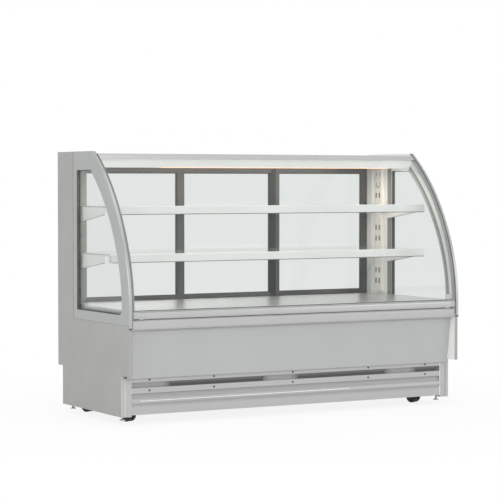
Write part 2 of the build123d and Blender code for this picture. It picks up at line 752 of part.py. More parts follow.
def edge_strip(side, x0, x1, z1):
    """An upright strip of the kick's face, rounded on its outer edge."""
    strip = box(side * x0, side * x1, KICK_FACE, KICK_FACE + KICK_PLATE, SKIRT_Z, z1)
    edge = strip.edges().filter_by(Axis.Z).sort_by(Axis.Y)[:2].sort_by(Axis.X)[0 if side < 0 else -1]
    return fillet(edge, min(CORNER_R, KICK_PLATE - FIT))


def tube(along, x0, x1, y0, y1, z0, z1):
    """A square tube that is open at both ends along X, Y or Z."""
    wall = {axis: 0 if axis == along else TUBE_WALL for axis in "XYZ"}
    hollow = box(
        x0 + wall["X"], x1 - wall["X"], y0 + wall["Y"], y1 - wall["Y"], z0 + wall["Z"], z1 - wall["Z"]
    )
    return box(x0, x1, y0, y1, z0, z1) - hollow


def base_frame():
    """Lower and upper rings of tube, corner uprights, cross tubes, caster seats and kick tabs."""
    front, back = FRAME_FRONT + TUBE, FRAME_BACK - TUBE
    tubes = []
    for z0 in (FRAME_Z0, UPPER_Z0):
        tubes.append(tube("X", -INNER, INNER, FRAME_FRONT, front, z0, z0 + TUBE))
        tubes.append(tube("X", -INNER, INNER, back, FRAME_BACK, z0, z0 + TUBE))
    for side in (-1, 1):
        outer, inner = side * INNER, side * (INNER - TUBE)
        x0, x1 = min(outer, inner), max(outer, inner)
        lower = tube("Y", x0, x1, front, back, FRAME_Z0, FRAME_Z1)
        for y in FOOT_Y:
            lower -= rod_z(side * FOOT_X, y, FRAME_Z0 - 1, FRAME_Z1 + 1, FOOT_ROD_R + BORE_FIT)
        tubes.append(lower)
        tubes.append(tube("Y", x0, x1, front, back, UPPER_Z0, FRAME_TOP))
        tubes.append(tube("Z", x0, x1, FRAME_FRONT, front, FRAME_Z1, UPPER_Z0))
        tubes.append(tube("Z", x0, x1, back, FRAME_BACK, FRAME_Z1, UPPER_Z0))
        center = side * CASTER_X
        carrier = tube("Y", center - TUBE / 2, center + TUBE / 2, front, back, FRAME_Z0, FRAME_Z1)
        for y in CASTER_Y:
            hole = rod_z(center, y, FRAME_Z0 - SEAT_T - 1, FRAME_Z0 + TUBE / 2, KINGPIN_R + BORE_FIT)
            carrier -= hole
            seat = box(
                center - SEAT_W / 2, center + SEAT_W / 2, y - SEAT_W / 2, y + SEAT_W / 2,
                FRAME_Z0 - SEAT_T, FRAME_Z0,
            )
            tubes.append(seat - hole)
        tubes.append(carrier)
    tubes.append(tube("Y", -TUBE / 2, TUBE / 2, front, back, UPPER_Z0, FRAME_TOP))
    for x in SCREW_X:
        x0, x1 = x - TAB_W / 2, x + TAB_W / 2
        tubes.append(box(x0, x1, KICK_FACE + SHEET, FRAME_FRONT, FRAME_Z0, FRAME_Z0 + TAB_H))
    write("base_frame", *tubes)


def rear_panel():
    """The stepped rear sheet with its louvres."""
    step_z = REAR_STEP_Z + REAR_LIP
    face = folded(
        [
            (SILL_FRONT, REAR_TOP), (REAR_FACE, REAR_TOP), (REAR_FACE, step_z), (REAR_LOW, step_z),
            (REAR_LOW, REAR_SKIRT_Z),
        ],
        SHEET,
    )
    panel = slab(face, -SPAN, SPAN)
    x_first, x_last = LOUVRES_X
    for column in range(floor((x_last - x_first) / LOUVRE_STEP) + 1):
        x = x_first + column * LOUVRE_STEP
        for z in LOUVRE_ROWS:
            panel -= box(x, x + LOUVRE_L, REAR_LOW - SHEET - 1, REAR_LOW + 1, z, z + LOUVRE_H)
    write("rear_panel", panel)


def well():
    """The well under the deck: a pan with the flange for the deck plates, in an insulated casing."""
    seat = FLANGE_Z - FLANGE_T
    flange = box(-WELL_END, WELL_END, LEDGE_BACK, SILL_FRONT, seat, FLANGE_Z)
    apron = box(-WELL_END, WELL_END, LEDGE_BACK, LEDGE_BACK + SHEET, LEDGE_Z0 + SHEET, FLANGE_Z)
    pan = well_block(WELL_WALL - SHEET, WELL_FLOOR - SHEET, FLANGE_Z)
    cavity = well_block(WELL_WALL, WELL_FLOOR, FLANGE_Z + 1)
    filling = well_block(SHEET, FRAME_TOP + SHEET, seat)
    write("well_pan", pan + flange + apron - cavity, well_block(0, FRAME_TOP, seat) - filling)
    write("well_insulation", filling - pan)


def well_block(inset, z0, z1):
    """A block of the well's outline, drawn in by inset."""
    return box(inset - WELL_END, WELL_END - inset, WELL_FRONT + inset, WELL_BACK - inset, z0, z1)


def deck_plates():
    """Inverted trays that make up the deck, with slots along the front and the back for warm air."""
    front, back = FRONT + DECK_FRONT_IN, SILL_FRONT - SHEET
    end = WELL_END - 1
    width = (2 * end - (TRAYS - 1) * TRAY_GAP) / TRAYS
    plates = []
    for index in range(TRAYS):
        x0 = -end + index * (width + TRAY_GAP)
        plate = box(x0, x0 + width, front, back, FLANGE_Z, DECK_Z)
        plate -= box(x0 + SHEET, x0 + width - SHEET, front + SHEET, back - SHEET, FLANGE_Z, DECK_Z - SHEET)
        count = floor((width - SLOT_STEP) / SLOT_STEP)
        first = x0 + (width - (count - 1) * SLOT_STEP) / 2
        for slot in range(count):
            x = first + slot * SLOT_STEP
            for y in (front + SLOT_STEP, back - SLOT_STEP):
                plate -= box(x - SLOT_L / 2, x + SLOT_L / 2, y, y + SLOT_W, DECK_Z - SHEET - 1, DECK_Z + 1)
        plates.append(plate)
    write("deck_plates", *plates)


def heating_elements():
    """Two hairpins of sheathed element, each clipped to the floor of the well."""
    z = WELL_FLOOR + ELEMENT_LIFT
    hairpins = []
    for x in ELEMENT_X:
        x0, x1 = x - ELEMENT_LEG / 2, x + ELEMENT_LEG / 2
        y0, y1 = ELEMENT_Y - ELEMENT_TURN_R, ELEMENT_Y + ELEMENT_TURN_R
        hairpin = rod_x(x0, x1, y0, z, ELEMENT_R) + rod_x(x0, x1, y1, z, ELEMENT_R)
        turn = Pos(x1, ELEMENT_Y, z) * Torus(ELEMENT_TURN_R, ELEMENT_R)
        hairpin += turn & box(x1, x1 + 2 * ELEMENT_TURN_R, y0 - TUBE, y1 + TUBE, WELL_FLOOR, z + TUBE)
        for clip_x in (x0 + CLIP_W, x1 - CLIP_W):
            hairpin += box(
                clip_x - CLIP_W / 2, clip_x + CLIP_W / 2, y0 - ELEMENT_R - SHEET, y1 + ELEMENT_R + SHEET,
                WELL_FLOOR, z + ELEMENT_R + SHEET,
            )
        hairpins.append(hairpin)
    write("heating_elements", *hairpins)


def fan():
    """Cross-flow fan at the back of the well: open-fronted housing with its motor, and the rotor drum."""
    reach = FAN_R + FAN_GAP
    y = WELL_BACK - WELL_WALL - reach - FAN_SHELL
    z = WELL_FLOOR + reach + FAN_SHELL
    back, top = y + reach + FAN_SHELL, z + reach + FAN_SHELL
    half = FAN_L / 2 + FAN_GAP
    shell = folded([(y - reach, WELL_FLOOR), (back, WELL_FLOOR), (back, top), (y, top)][::-1], FAN_SHELL)
    housing = slab(shell, FAN_X - half, FAN_X + half)
    for side in (-1, 1):
        x0, x1 = FAN_X + side * half, FAN_X + side * (half + FAN_PLATE)
        plate = box(x0, x1, y - reach, back, WELL_FLOOR, top)
        housing += plate - rod_x(x0, x1, y, z, FAN_SHAFT_R + BORE_FIT)
    motor_x = FAN_X + half + FAN_PLATE
    motor = rod_x(motor_x, motor_x + MOTOR_L, y, z, MOTOR_R)
    motor -= rod_x(motor_x, motor_x + MOTOR_L / 2, y, z, FAN_SHAFT_R + BORE_FIT)
    write("fan_housing", housing + motor)
    shaft = rod_x(FAN_X - half - FAN_PLATE, motor_x + MOTOR_L / 4, y, z, FAN_SHAFT_R)
    rotor = shaft
    for x in (FAN_X - FAN_L / 2, FAN_X, FAN_X + FAN_L / 2 - FAN_DISC_T):
        rotor += rod_x(x, x + FAN_DISC_T, y, z, FAN_R)
    for index in range(FAN_BLADES):
        blade = box(
            FAN_X - FAN_L / 2, FAN_X + FAN_L / 2, FAN_R - FAN_BLADE_D - 1, FAN_R - 1,
            -FAN_BLADE_T / 2, FAN_BLADE_T / 2,
        )
        rotor += Pos(0, y, z) * Rot(index * 360 / FAN_BLADES, 0, 0) * blade
    write("fan_rotor", rotor)


def rear_opening():
    """Sill and header with their three tracks, and the two jambs between them."""
    sill = box(-SPAN, SPAN, SILL_FRONT, REAR_FACE, REAR_TOP, FLANGE_Z)
    header = box(-SPAN, SPAN, SILL_FRONT, REAR_FACE, HEADER_Z, CANOPY_UNDER)
    for y in TRACK_Y:
        y0, y1 = y - TRACK_W / 2, y + TRACK_W / 2
        sill -= box(-HALF, HALF, y0, y1, FLANGE_Z - TRACK_D, FLANGE_Z + 1)
        header -= box(-HALF, HALF, y0, y1, HEADER_Z - 1, HEADER_Z + HEADER_TRACK_D)
    left = box(-SPAN, -INNER + JAMB_LEFT, SILL_FRONT, REAR_FACE, FLANGE_Z, HEADER_Z)
    right = box(INNER - JAMB_RIGHT, SPAN, SILL_FRONT, REAR_FACE, FLANGE_Z, HEADER_Z)
    write("door_sill", sill)
    write("door_header", header)
    write("door_jambs", left, right)


def doors():
    """Three sliding doors, each a frame with a pane in its groove and a finger rib on the staff side."""
    left_x = -INNER + JAMB_LEFT + DOOR_GAP
    right_x = INNER - JAMB_RIGHT - DOOR_GAP - DOOR_W
    places = {"left": left_x, "center": left_x + DOOR_W - DOOR_LAPS[0], "right": right_x}
    for (name, x0), y in zip(places.items(), TRACK_Y):
        x1 = x0 + DOOR_W
        y0, y1 = y - DOOR_T / 2, y + DOOR_T / 2
        z0, z1 = DOOR_Z0 + DOOR_RAIL_LOW, DOOR_Z1 - DOOR_RAIL_HIGH
        lap = DOOR_GLASS_LAP
        pane = box(
            x0 + STILE_W - lap, x1 - STILE_W + lap, y - DOOR_GLASS_T / 2, y + DOOR_GLASS_T / 2,
            z0 - lap, z1 + lap,
        )
        frame = box(x0, x1, y0, y1, DOOR_Z0, DOOR_Z1) - pane
        frame -= box(x0 + STILE_W, x1 - STILE_W, y0, y1, z0, z1)
        pull_x = x0 + STILE_W / 2 if name != "right" else x1 - STILE_W / 2
        pull = box(
            pull_x - PULL_W / 2, pull_x + PULL_W / 2, y1, y1 + PULL_D,
            PULL_Z - PULL_H / 2, PULL_Z + PULL_H / 2,
        )
        write(f"door_frame_{name}", frame + fillet(pull.edges().filter_by(Axis.Y), PULL_W / 3))
        write(f"door_glass_{name}", pane)


def slot_z(index):
    """Height of the middle of a slot in the shelf standards, counted from the lowest."""
    return STANDARD_Z0 + FIRST_SLOT + index * SLOT_PITCH


def shelf_tops():
    """Height of the top of each shelf."""
    return [slot_z(index) + SHELF_RISE for index in SHELF_SLOTS]


def shelf_standards():
    """Slotted channels on the inner faces of the rear columns."""
    y0, y1 = STANDARD_Y0, STANDARD_Y0 + STANDARD_W
    count = ceil((STANDARD_Z1 - STANDARD_Z0 - FIRST_SLOT) / SLOT_PITCH - 0.5)
    standards = []
    for side in (-1, 1):
        face, back = side * (INNER - STANDARD_D), side * INNER
        web = side * (INNER - STANDARD_D + STANDARD_T)
        standard = box(face, back, y0, y1, STANDARD_Z0, STANDARD_Z1)
        standard -= box(web, back, y0 + STANDARD_T, y1 - STANDARD_T, STANDARD_Z0, STANDARD_Z1)
        for row in HOOK_ROWS:
            for index in range(count):
                z = slot_z(index)
                standard -= box(
                    face, web, y0 + row - HOOK_SLOT_W / 2, y0 + row + HOOK_SLOT_W / 2,
                    z - HOOK_SLOT_H / 2, z + HOOK_SLOT_H / 2,
                )
        middle = y0 + sum(HOOK_ROWS) / 2
        standard -= rod_x(face, web, middle, STANDARD_Z1 - SIGHT_HOLE_DROP, SIGHT_HOLE_R)
        standards.append(standard)
    write("shelf_standards", *standards)


def shelf_brackets():
    """Tapered brackets that hook into the standards and carry the shelf rails."""
    outer = INNER - STANDARD_D - FIT
    back = STANDARD_Y0 + STANDARD_W
    tongue_y = STANDARD_Y0 + HOOK_ROWS[0] - HOOK_SLOT_W * 2
    brackets = []
    for index, top in zip(SHELF_SLOTS, shelf_tops()):
        rail = top - SHELF_GLASS_T - SHELF_RAIL_T
        foot = slot_z(index - 1) - HOOK_SLOT_H / 2
        plate = polygon(
            (BRACKET_FRONT_Y, rail), (back, rail), (back, foot), (tongue_y, foot),
            (tongue_y, top - BRACKET_ARM_H), (BRACKET_TIP_Y, top - BRACKET_ARM_H),
            (BRACKET_TIP_Y, top - BRACKET_TIP_H), (BRACKET_FRONT_Y, top - BRACKET_FRONT_H),
        )
        for side in (-1, 1):
            bracket = slab(plate, side * outer, side * (outer - BRACKET_T))
            for row in HOOK_ROWS:
                for slot in (index - 1, index):
                    y = STANDARD_Y0 + row
                    z = slot_z(slot) - HOOK_SLOT_H / 2
                    bracket += box(
                        side * outer, side * (outer + HOOK_L), y - HOOK_SLOT_W / 2 + FIT,
                        y + HOOK_SLOT_W / 2 - FIT, z, z + HOOK_H,
                    )
            brackets.append(bracket)
    write("shelf_brackets", *brackets)


def shelves():
    """White shelf frames, each a hollow front nose with rails round the other sides, and the glass."""
    nose_back = SHELF_FRONT + SHELF_NOSE_D
    glass_front = nose_back - SHELF_REBATE
    glass_half = SHELF_HALF - SHELF_GLASS_GAP
    frames, plates = [], []
    for top in shelf_tops():
        seat = top - SHELF_GLASS_T
        under = seat - SHELF_RAIL_T
        bottom = top - SHELF_NOSE_H
        nose_face = polygon(
            (SHELF_FRONT, bottom), (SHELF_FRONT, top), (nose_back, top), (nose_back, bottom)
        )
        nose_face = rounded(nose_face, SHELF_FRONT, top, SHELF_NOSE_R)
        nose_face = rounded(nose_face, SHELF_FRONT, bottom, SHELF_NOSE_R)
        nose_face -= polygon((glass_front, seat), (glass_front, top), (nose_back, top), (nose_back, seat))
        wall = SHELF_NOSE_WALL
        nose_face -= polygon(
            (SHELF_FRONT + wall, bottom), (SHELF_FRONT + wall, under), (nose_back - wall, under),
            (nose_back - wall, bottom),
        )
        frame = slab(nose_face, -SHELF_HALF, SHELF_HALF)
        for side in (-1, 1):
            rail_in = side * (SHELF_HALF - SHELF_RAIL_W)
            frame += box(side * SHELF_HALF, rail_in, nose_back, SHELF_BACK, under, seat)
        frame += box(-SHELF_HALF, SHELF_HALF, SHELF_BACK - SHELF_RAIL_W, SHELF_BACK, under, seat)
        frames.append(frame)
        plates.append(box(-glass_half, glass_half, glass_front + FIT, SHELF_BACK, seat, top))
    write("shelf_noses", *frames)
    write("shelf_glass", *plates)


def control_box():
    """Box of controls on the lower rear panel, with two rocker switches, a knob and the cord's inlet."""
    x1 = CONTROL_X0 + CONTROL_W
    z1 = CONTROL_Z0 + CONTROL_H
    shell = box(CONTROL_X0, x1, REAR_LOW, CONTROL_FACE, CONTROL_Z0, z1)
    shell -= box(
        CONTROL_X0 + SHEET, x1 - SHEET, REAR_LOW, CONTROL_FACE - SHEET, CONTROL_Z0 + SHEET, z1 - SHEET
    )
    pivot_y = CONTROL_FACE - SHEET
    for name, dx in zip(("main_switch", "light_switch"), SWITCH_DX):
        x = CONTROL_X0 + dx
        gap_x = SWITCH_W / 2 + SWITCH_GAP
        gap_z = SWITCH_H / 2 + SWITCH_GAP
        shell -= box(
            x - gap_x, x + gap_x, pivot_y - 1, CONTROL_FACE + 1, CONTROL_Z - gap_z, CONTROL_Z + gap_z
        )
        for side in (-1, 1):
            shell += box(
                x + side * gap_x, x + side * (gap_x + SHEET), pivot_y - 3 * SWITCH_PIVOT_R, pivot_y,
                CONTROL_Z - SWITCH_D / 2, CONTROL_Z + SWITCH_D / 2,
            )
        shell -= rod_x(
            x - gap_x - SHEET, x + gap_x + SHEET, pivot_y - 1.5 * SWITCH_PIVOT_R, CONTROL_Z,
            SWITCH_PIVOT_R + BORE_FIT,
        )
        write(name, rocker(x, pivot_y - 1.5 * SWITCH_PIVOT_R, gap_x + SHEET))
    knob_x = CONTROL_X0 + KNOB_DX
    shell -= rod_y(knob_x, pivot_y - 1, CONTROL_FACE + 1, CONTROL_Z, KNOB_SHAFT_R + BORE_FIT)
    write("thermostat_knob", knob(knob_x))
    inlet_x = CONTROL_X0 + INLET_DX
    hole = rod_y(inlet_x, pivot_y - 1, CONTROL_FACE + 1, CONTROL_Z, INLET_R - SHEET)
    write("control_box", shell - hole)
    gland = rod_y(inlet_x, CONTROL_FACE, CONTROL_FACE + INLET_L, CONTROL_Z, INLET_R)
    sleeve = rod_y(inlet_x, pivot_y - SHEET, CONTROL_FACE, CONTROL_Z, INLET_R - SHEET)
    bore = rod_y(inlet_x, pivot_y - SHEET, CONTROL_FACE + INLET_L, CONTROL_Z, INLET_R / 2)
    write("power_inlet", gland + sleeve - bore)


def rocker(x, pivot_y, pin_reach):
    """A rocker switch tipped to its off side, with its pivot pin."""
    z = CONTROL_Z
    front = pivot_y + 1.5 * SWITCH_PIVOT_R + SHEET
    profile = polygon(
        (pivot_y - SWITCH_PIVOT_R, z - SWITCH_D / 2), (front, z - SWITCH_H / 2 + 1),
        (front + 3, z - SWITCH_H / 2 + 1),
        (front + 1, z), (front + 3, z + SWITCH_H / 2 - 1), (front, z + SWITCH_H / 2 - 1),
        (pivot_y - SWITCH_PIVOT_R, z + SWITCH_D / 2),
    )
    body = slab(profile, x - SWITCH_W / 2, x + SWITCH_W / 2)
    body += rod_x(x - pin_reach, x + pin_reach, pivot_y, z, SWITCH_PIVOT_R)
    return Pos(0, pivot_y, z) * Rot(SWITCH_TILT, 0, 0) * Pos(0, -pivot_y, -z) * body


def knob(x):
    """A round knob with a raised grip bar, on its shaft."""
    face = CONTROL_FACE + KNOB_GAP
    body = rod_y(x, face, face + KNOB_H / 2, CONTROL_Z, KNOB_R)
    grip = box(x - KNOB_R / 4, x + KNOB_R / 4, face, face + KNOB_H, CONTROL_Z - KNOB_R, CONTROL_Z + KNOB_R)
    body += grip & rod_y(x, face, face + KNOB_H, CONTROL_Z, KNOB_R)
    return body + rod_y(x, CONTROL_FACE - CONTROL_D / 2, face, CONTROL_Z, KNOB_SHAFT_R)


def casters():
    """Four twin-wheel casters: a hooded fork on its kingpin, and the wheel pair on its axle."""
    web_half = CASTER_WEB / 2
    outer = web_half + WEB_GAP + WHEEL_W
    hood_r = WHEEL_R + HOOD_GAP + HOOD_T
    seat_z = FRAME_Z0 - SEAT_T - FIT
    hood = rod_x(-outer, outer, TRAIL, WHEEL_R, hood_r)
    hood -= rod_x(-outer, outer, TRAIL, WHEEL_R, hood_r - HOOD_T)
    hood &= box(-outer, outer, TRAIL - hood_r, TRAIL + hood_r, WHEEL_R, WHEEL_R + hood_r)
    web = rod_x(-web_half, web_half, TRAIL, WHEEL_R, hood_r)
    web &= box(-web_half, web_half, TRAIL - hood_r, TRAIL + hood_r, WHEEL_R / 2, WHEEL_R + hood_r)
    fork = hood + web + rod_z(0, 0, WHEEL_R * 1.4, seat_z, STEM_R)
    fork -= rod_x(-outer, -web_half, TRAIL, WHEEL_R, hood_r - HOOD_T)
    fork -= rod_x(web_half, outer, TRAIL, WHEEL_R, hood_r - HOOD_T)
    fork += rod_z(0, 0, seat_z - COLLAR_H, seat_z, COLLAR_R)
    fork += rod_z(0, 0, seat_z, seat_z + KINGPIN_L, KINGPIN_R)
    fork -= rod_x(-web_half, web_half, TRAIL, WHEEL_R, AXLE_R + BORE_FIT)
    wheel = rod_x(-outer, outer, TRAIL, WHEEL_R, AXLE_R)
    for side in (-1, 1):
        tread = rod_x(side * (web_half + WEB_GAP), side * outer, TRAIL, WHEEL_R, WHEEL_R)
        wheel += fillet(tread.edges().filter_by(GeomType.CIRCLE), WHEEL_R / 10)
    for x_name, x in (("left", -CASTER_X), ("right", CASTER_X)):
        for y_name, y in zip(("front", "rear"), CASTER_Y):
            place = Pos(x, y, 0) * Rot(0, 0, CASTER_TURN)
            write(f"caster_fork_{y_name}_{x_name}", place * fork)
            write(f"caster_wheel_{y_name}_{x_name}", place * wheel)


def levelling_feet():
    """Threaded feet beside the casters, wound down to steady the case once it stands in its place."""
    for x_name, x in (("left", -FOOT_X), ("right", FOOT_X)):
        for y_name, y in zip(("front", "rear"), FOOT_Y):
            disc = rod_z(x, y, FOOT_Z, FOOT_Z + FOOT_H, FOOT_R)
            disc = fillet(disc.edges().sort_by(Axis.Z)[-1], FOOT_H / 3)
            foot = disc + rod_z(x, y, FOOT_Z + FOOT_H / 2, FOOT_ROD_TOP, FOOT_ROD_R)
            write(f"levelling_foot_{y_name}_{x_name}", foot)


glazed_ends()
front_ledge()
hinge_knuckles()
front_glass()
canopy()
lamp()
front_panel()
kick_grille()
kick_corners()
base_frame()
rear_panel()
well()
deck_plates()
heating_elements()
fan()
rear_opening()
doors()
shelf_standards()
shelf_brackets()
shelves()
control_box()
casters()
levelling_feet()
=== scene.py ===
import json
import math

import bmesh
import bpy
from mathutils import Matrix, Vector


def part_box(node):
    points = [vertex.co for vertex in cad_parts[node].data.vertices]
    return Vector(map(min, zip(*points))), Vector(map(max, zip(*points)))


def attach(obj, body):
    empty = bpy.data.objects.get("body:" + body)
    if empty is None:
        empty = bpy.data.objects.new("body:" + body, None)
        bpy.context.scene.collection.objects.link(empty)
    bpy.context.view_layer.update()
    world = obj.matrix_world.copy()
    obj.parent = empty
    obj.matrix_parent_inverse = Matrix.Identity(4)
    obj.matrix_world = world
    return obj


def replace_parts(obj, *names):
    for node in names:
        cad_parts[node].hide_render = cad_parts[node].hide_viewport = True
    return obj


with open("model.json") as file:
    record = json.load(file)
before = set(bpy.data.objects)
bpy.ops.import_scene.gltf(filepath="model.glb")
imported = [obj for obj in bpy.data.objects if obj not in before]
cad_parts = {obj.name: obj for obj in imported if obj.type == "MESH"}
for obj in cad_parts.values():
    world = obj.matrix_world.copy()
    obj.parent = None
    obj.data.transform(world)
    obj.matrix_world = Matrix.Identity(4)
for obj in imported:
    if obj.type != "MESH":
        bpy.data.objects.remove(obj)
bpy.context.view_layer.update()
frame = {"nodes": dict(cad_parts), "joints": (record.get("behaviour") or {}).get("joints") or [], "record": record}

NODES = frame["nodes"]
SLOT_OF = {row["node"]: row["material_slot"] for row in frame["record"]["subparts"]}


# Sizes and places, in metres and in the CAD frame


CORNERS = ((-1, -1), (1, -1), (1, 1), (-1, 1))
SIDES = (-1, 1)

# Folded and extruded nodes, by the width of their softened edges
SOFT_EDGES = {
    0.0012: ("end_panel_left", "end_panel_right", "door_frame_left", "door_frame_center", "door_frame_right"),
    0.0010: ("front_panel",),
    0.0008: ("canopy", "door_header", "door_sill", "door_jambs", "glass_top_rail"),
    0.0007: ("control_box",),
    0.0006: ("rear_panel", "deck_plates"),
    0.0005: ("shelf_brackets", "well_pan"),
    0.0004: ("shelf_standards", "lamp_housing"),
}

# Screws and nuts, with the pan head in shares of its height and radius
PAN_HEAD = ((1.0, 0.70), (0.86, 0.86), (0.60, 0.96), (0.30, 1.0), (0.0, 1.0))
CROSS_ARM, CROSS_HALF = 0.62, 0.13  # shares of the radius
CROSS_RINGS = ((0.45, 0.75), (0.97, 1.0))  # floor and rim, as shares of the head's height and of the cross
SHANK = 0.5  # share of the radius
HEXAGON = 6

# Kick, with its recessed air channel and the outlets in it
KICK_FACE_Y = -0.323
CHANNEL_Z, CHANNEL_LEAST_IN = (0.1732, 0.2002), 0.001
VENTS = ((-0.680, -0.165), (0.035, 0.550), (0.740, 0.868))  # along X
VENT_FADE = 0.055
# Dark sheets behind the outlets stand in for the shadow inside them: painted shade
VENT_SHADE_Y = (-0.3085, -0.3055)
VENT_SHADE_LAP_X, VENT_SHADE_LAP_Z = 0.006, 0.004  # how far a mat reaches past its outlet
VENT_SHADE_SLOPE_X, VENT_SHADE_SLOPE_Z = 0.002, 0.001
# A white bead along the kick's rib is a painted highlight
KICK_LINE_X = (-0.840, 0.330)
KICK_LINE_Z, KICK_LINE_PROUD, KICK_LINE_R = 0.1112, 0.0030, 0.0014
# White beads down the edges of the corner posts are painted highlights
POST_EDGES = ((-0.9198, 0.040, 0.219, 0.0008), (0.8845, 0.050, 0.217, 0.0015))  # x, z of both ends, radius
POST_EDGE_PROUD = 0.0004

# Painted shade down the kick and painted shade and light down the sheets behind its outlets, as (z, share of the
# colour)
KICK_SHADES = (
    (0.08, 1.0), (0.0955, 0.72), (0.0985, 0.76), (0.104, 0.98), (0.118, 1.0), (0.126, 0.9), (0.133, 0.8),
    (0.142, 0.76), (0.1476, 0.66), (0.148, 1.0),
)
VENT_SHADE_LEVELS = ((0.174, 1.2), (0.18, 0.9), (0.186, 1.1), (0.196, 2.9))

# Lamps of the display: circuit boards and chips; the diffuser's edge has a glowing painted warm reflection
BOARD_EDGE = 0.0004
CHIP_STEP, CHIP_L, CHIP_W, CHIP_H = 0.020, 0.0035, 0.0028, 0.0008
CHIP_RINGS = ((0.0, 1.0), (0.7, 1.0), (1.0, 0.75))  # shares of the height and of the width
WARM_LINE_X = (-0.55, 0.80)
WARM_LINE_IN, WARM_LINE_DROP = 0.0030, 0.0003
WARM_LINE_R = (0.0011, 0.0009)

# Rear panel, with the hoods' section in shares of swell and height
REAR_FACE_Y, REAR_LOW_Y = 0.409, 0.354
SHEET = 0.0012
LOUVRE_ROWS = (0.100, 0.118, 0.136, 0.154)
LOUVRE_FIRST_X, LOUVRE_STEP, LOUVRE_COLUMNS = -0.590, 0.080, 13
LOUVRE_HALF, LOUVRE_RISE, LOUVRE_DEEP = 0.034, 0.009, 0.006
HOOD_FOOT, HOOD_LEAST, HOOD_STEPS = 0.0012, 0.0035, 12
HOOD_END_DEEP, HOOD_END_RISE = 0.12, 0.3  # shares that are left at the ends
HOOD_OUTER = ((1.0, 0.0), (0.92, 0.35), (0.55, 0.75), (0.0, 1.0))
HOOD_INNER = ((0.45, 0.68), (0.75, 0.32), (0.80, 0.0))
REAR_SCREW_X = (-0.890, -0.530, -0.180, 0.180, 0.530, 0.890)
REAR_SCREW_ROWS = ((REAR_FACE_Y, 0.488, 0.0019), (REAR_LOW_Y, 0.076, 0.0022))  # face, z, height of the heads
REAR_SCREW_R = 0.0042

# Control box: rockers, knob and cable gland
ROCKERS = ("main_switch", "light_switch")
CONTROL_FACE_Y, CONTROL_Z = 0.396, 0.165
CONTROL_SCREW_IN, CONTROL_SCREW_R, CONTROL_SCREW_H = 0.010, 0.0035, 0.0020
BEZEL_HALF_X, BEZEL_HALF_Z, BEZEL_CORNER = 0.0142, 0.0157, 0.004
BEZEL_W, BEZEL_H, BEZEL_EDGE, BEZEL_STEPS = 0.0032, 0.0026, 0.0006, 4
MARK_ARM, MARK_LINE, MARK_RISE = 0.0024, 0.0005, 0.0003
ROCKER_FACE = 0.00005  # square metres, less than either face that a finger presses
KNOB_X = 0.765
DIAL_MARKS, DIAL_START, DIAL_SWEEP = 13, 225, 270  # marks, and degrees
DIAL_NEAR, DIAL_RISE = 0.0215, 0.0004
LONG_MARK, SHORT_MARK = (0.0265, 0.0007), (0.0245, 0.0004)  # far end and half width
POINTER_Z = (0.005, 0.0165)  # above the knob's middle
POINTER_RINGS = ((-0.0002, 0.0009), (0.0003, 0.0007))  # rise over the knob's face and half width
GLAND_NUT = ((0.0, 0.0), (0.0, 0.003), (0.0004, 0.0035), (0.0034, 0.0035), (0.0040, 0.003), (0.0040, 0.0))
GLAND_RIBS, RIB_HALF, RIB_RISE, RIB_ROOT = 16, 0.0007, 0.0006, 0.0004
RIB_FOOT = ((0.0042, 0.6), (0.0050, 1.0))  # above the box, and share of the rise
RIB_END = ((-0.0022, 1.0), (-0.0014, 0.5))  # below the cap's end

# Wheels and levelling feet, as turned profiles of (height, radius)
HUB_CAP = ((-0.0006, 0.0125), (0.0007, 0.0125), (0.0011, 0.0115), (0.0008, 0.0105), (0.0012, 0.0095),
           (0.0016, 0.0060), (0.0018, 0.0020))
FOOT_R, FOOT_H, FOOT_ROD_R = 0.014, 0.008, 0.005
FOOT_PAD = ((0.0, 0.0122), (0.0006, 0.0134), (0.0016, FOOT_R), (0.0042, FOOT_R), (0.0060, 0.0124),
            (0.0072, 0.0078), (FOOT_H, 0.0068), (FOOT_H, FOOT_ROD_R))
FOOT_NUT = ((0.0, 0.0078), (0.0006, 0.0092), (0.0070, 0.0092), (0.0076, 0.0078))
FRAME_FOOT_Z = 0.088
FOOT_NUT_DROP = 0.0078  # from the underside of the frame
THREAD_PITCH, THREAD_DEEP = 0.0018, 0.0006
THREAD_FOOT, THREAD_END = 0.002, 0.003  # plain lengths of the rod
ROD_EDGE = 0.0005

# Ledge, rails and ends
LEDGE_CAP_L, RAIL_CAP_L = 0.052, 0.020
RAIL_CAP_OVER = 0.0015
CAP_PROUD = 0.0004
RAIL_TOP = (-0.3885, 0.5440)
RAIL_GASKET_R = 0.0022
COLUMN_Y = 0.220
END_FACE_X = 0.939
SEAM_X = (END_FACE_X - 0.0004, END_FACE_X + 0.0003)
SEAM, SEAM_TOP_IN, SEAM_END_IN = 0.0050, 0.0005, 0.004
SEAM_FOOT = 0.25  # share of that width along the foot of the frame
INNER_X = 0.920
COVER_Y, STRIP_TOP_Z, SEAL_X = 0.1, 1.29, 0.91  # covers lie behind, strips end above, glass seals lie inside
LINER_BANDS = ((0.012, 0.024, "seal_grey"), (0.052, 0.074, "band_grey"))  # depth behind the pane's outer face
LINER_BAND_Z = (0.560, 1.225)
BAND_EDGE, BAND_PROUD = 0.001, 0.0008

# Doors: the left door's outer stile, and the middle door's stile that the right door closes behind
OUTER_STILE_X = -0.80
LAP_STILE_X = 0.26
GLASS_LAP, BEAD_W = 0.010, 0.0032
BEAD_SECTION = ((0.0, 0.0), (0.0, 0.9), (0.25, 1.0), (0.7, 0.75), (1.0, 0.2), (1.0, 0.0))  # shares of width

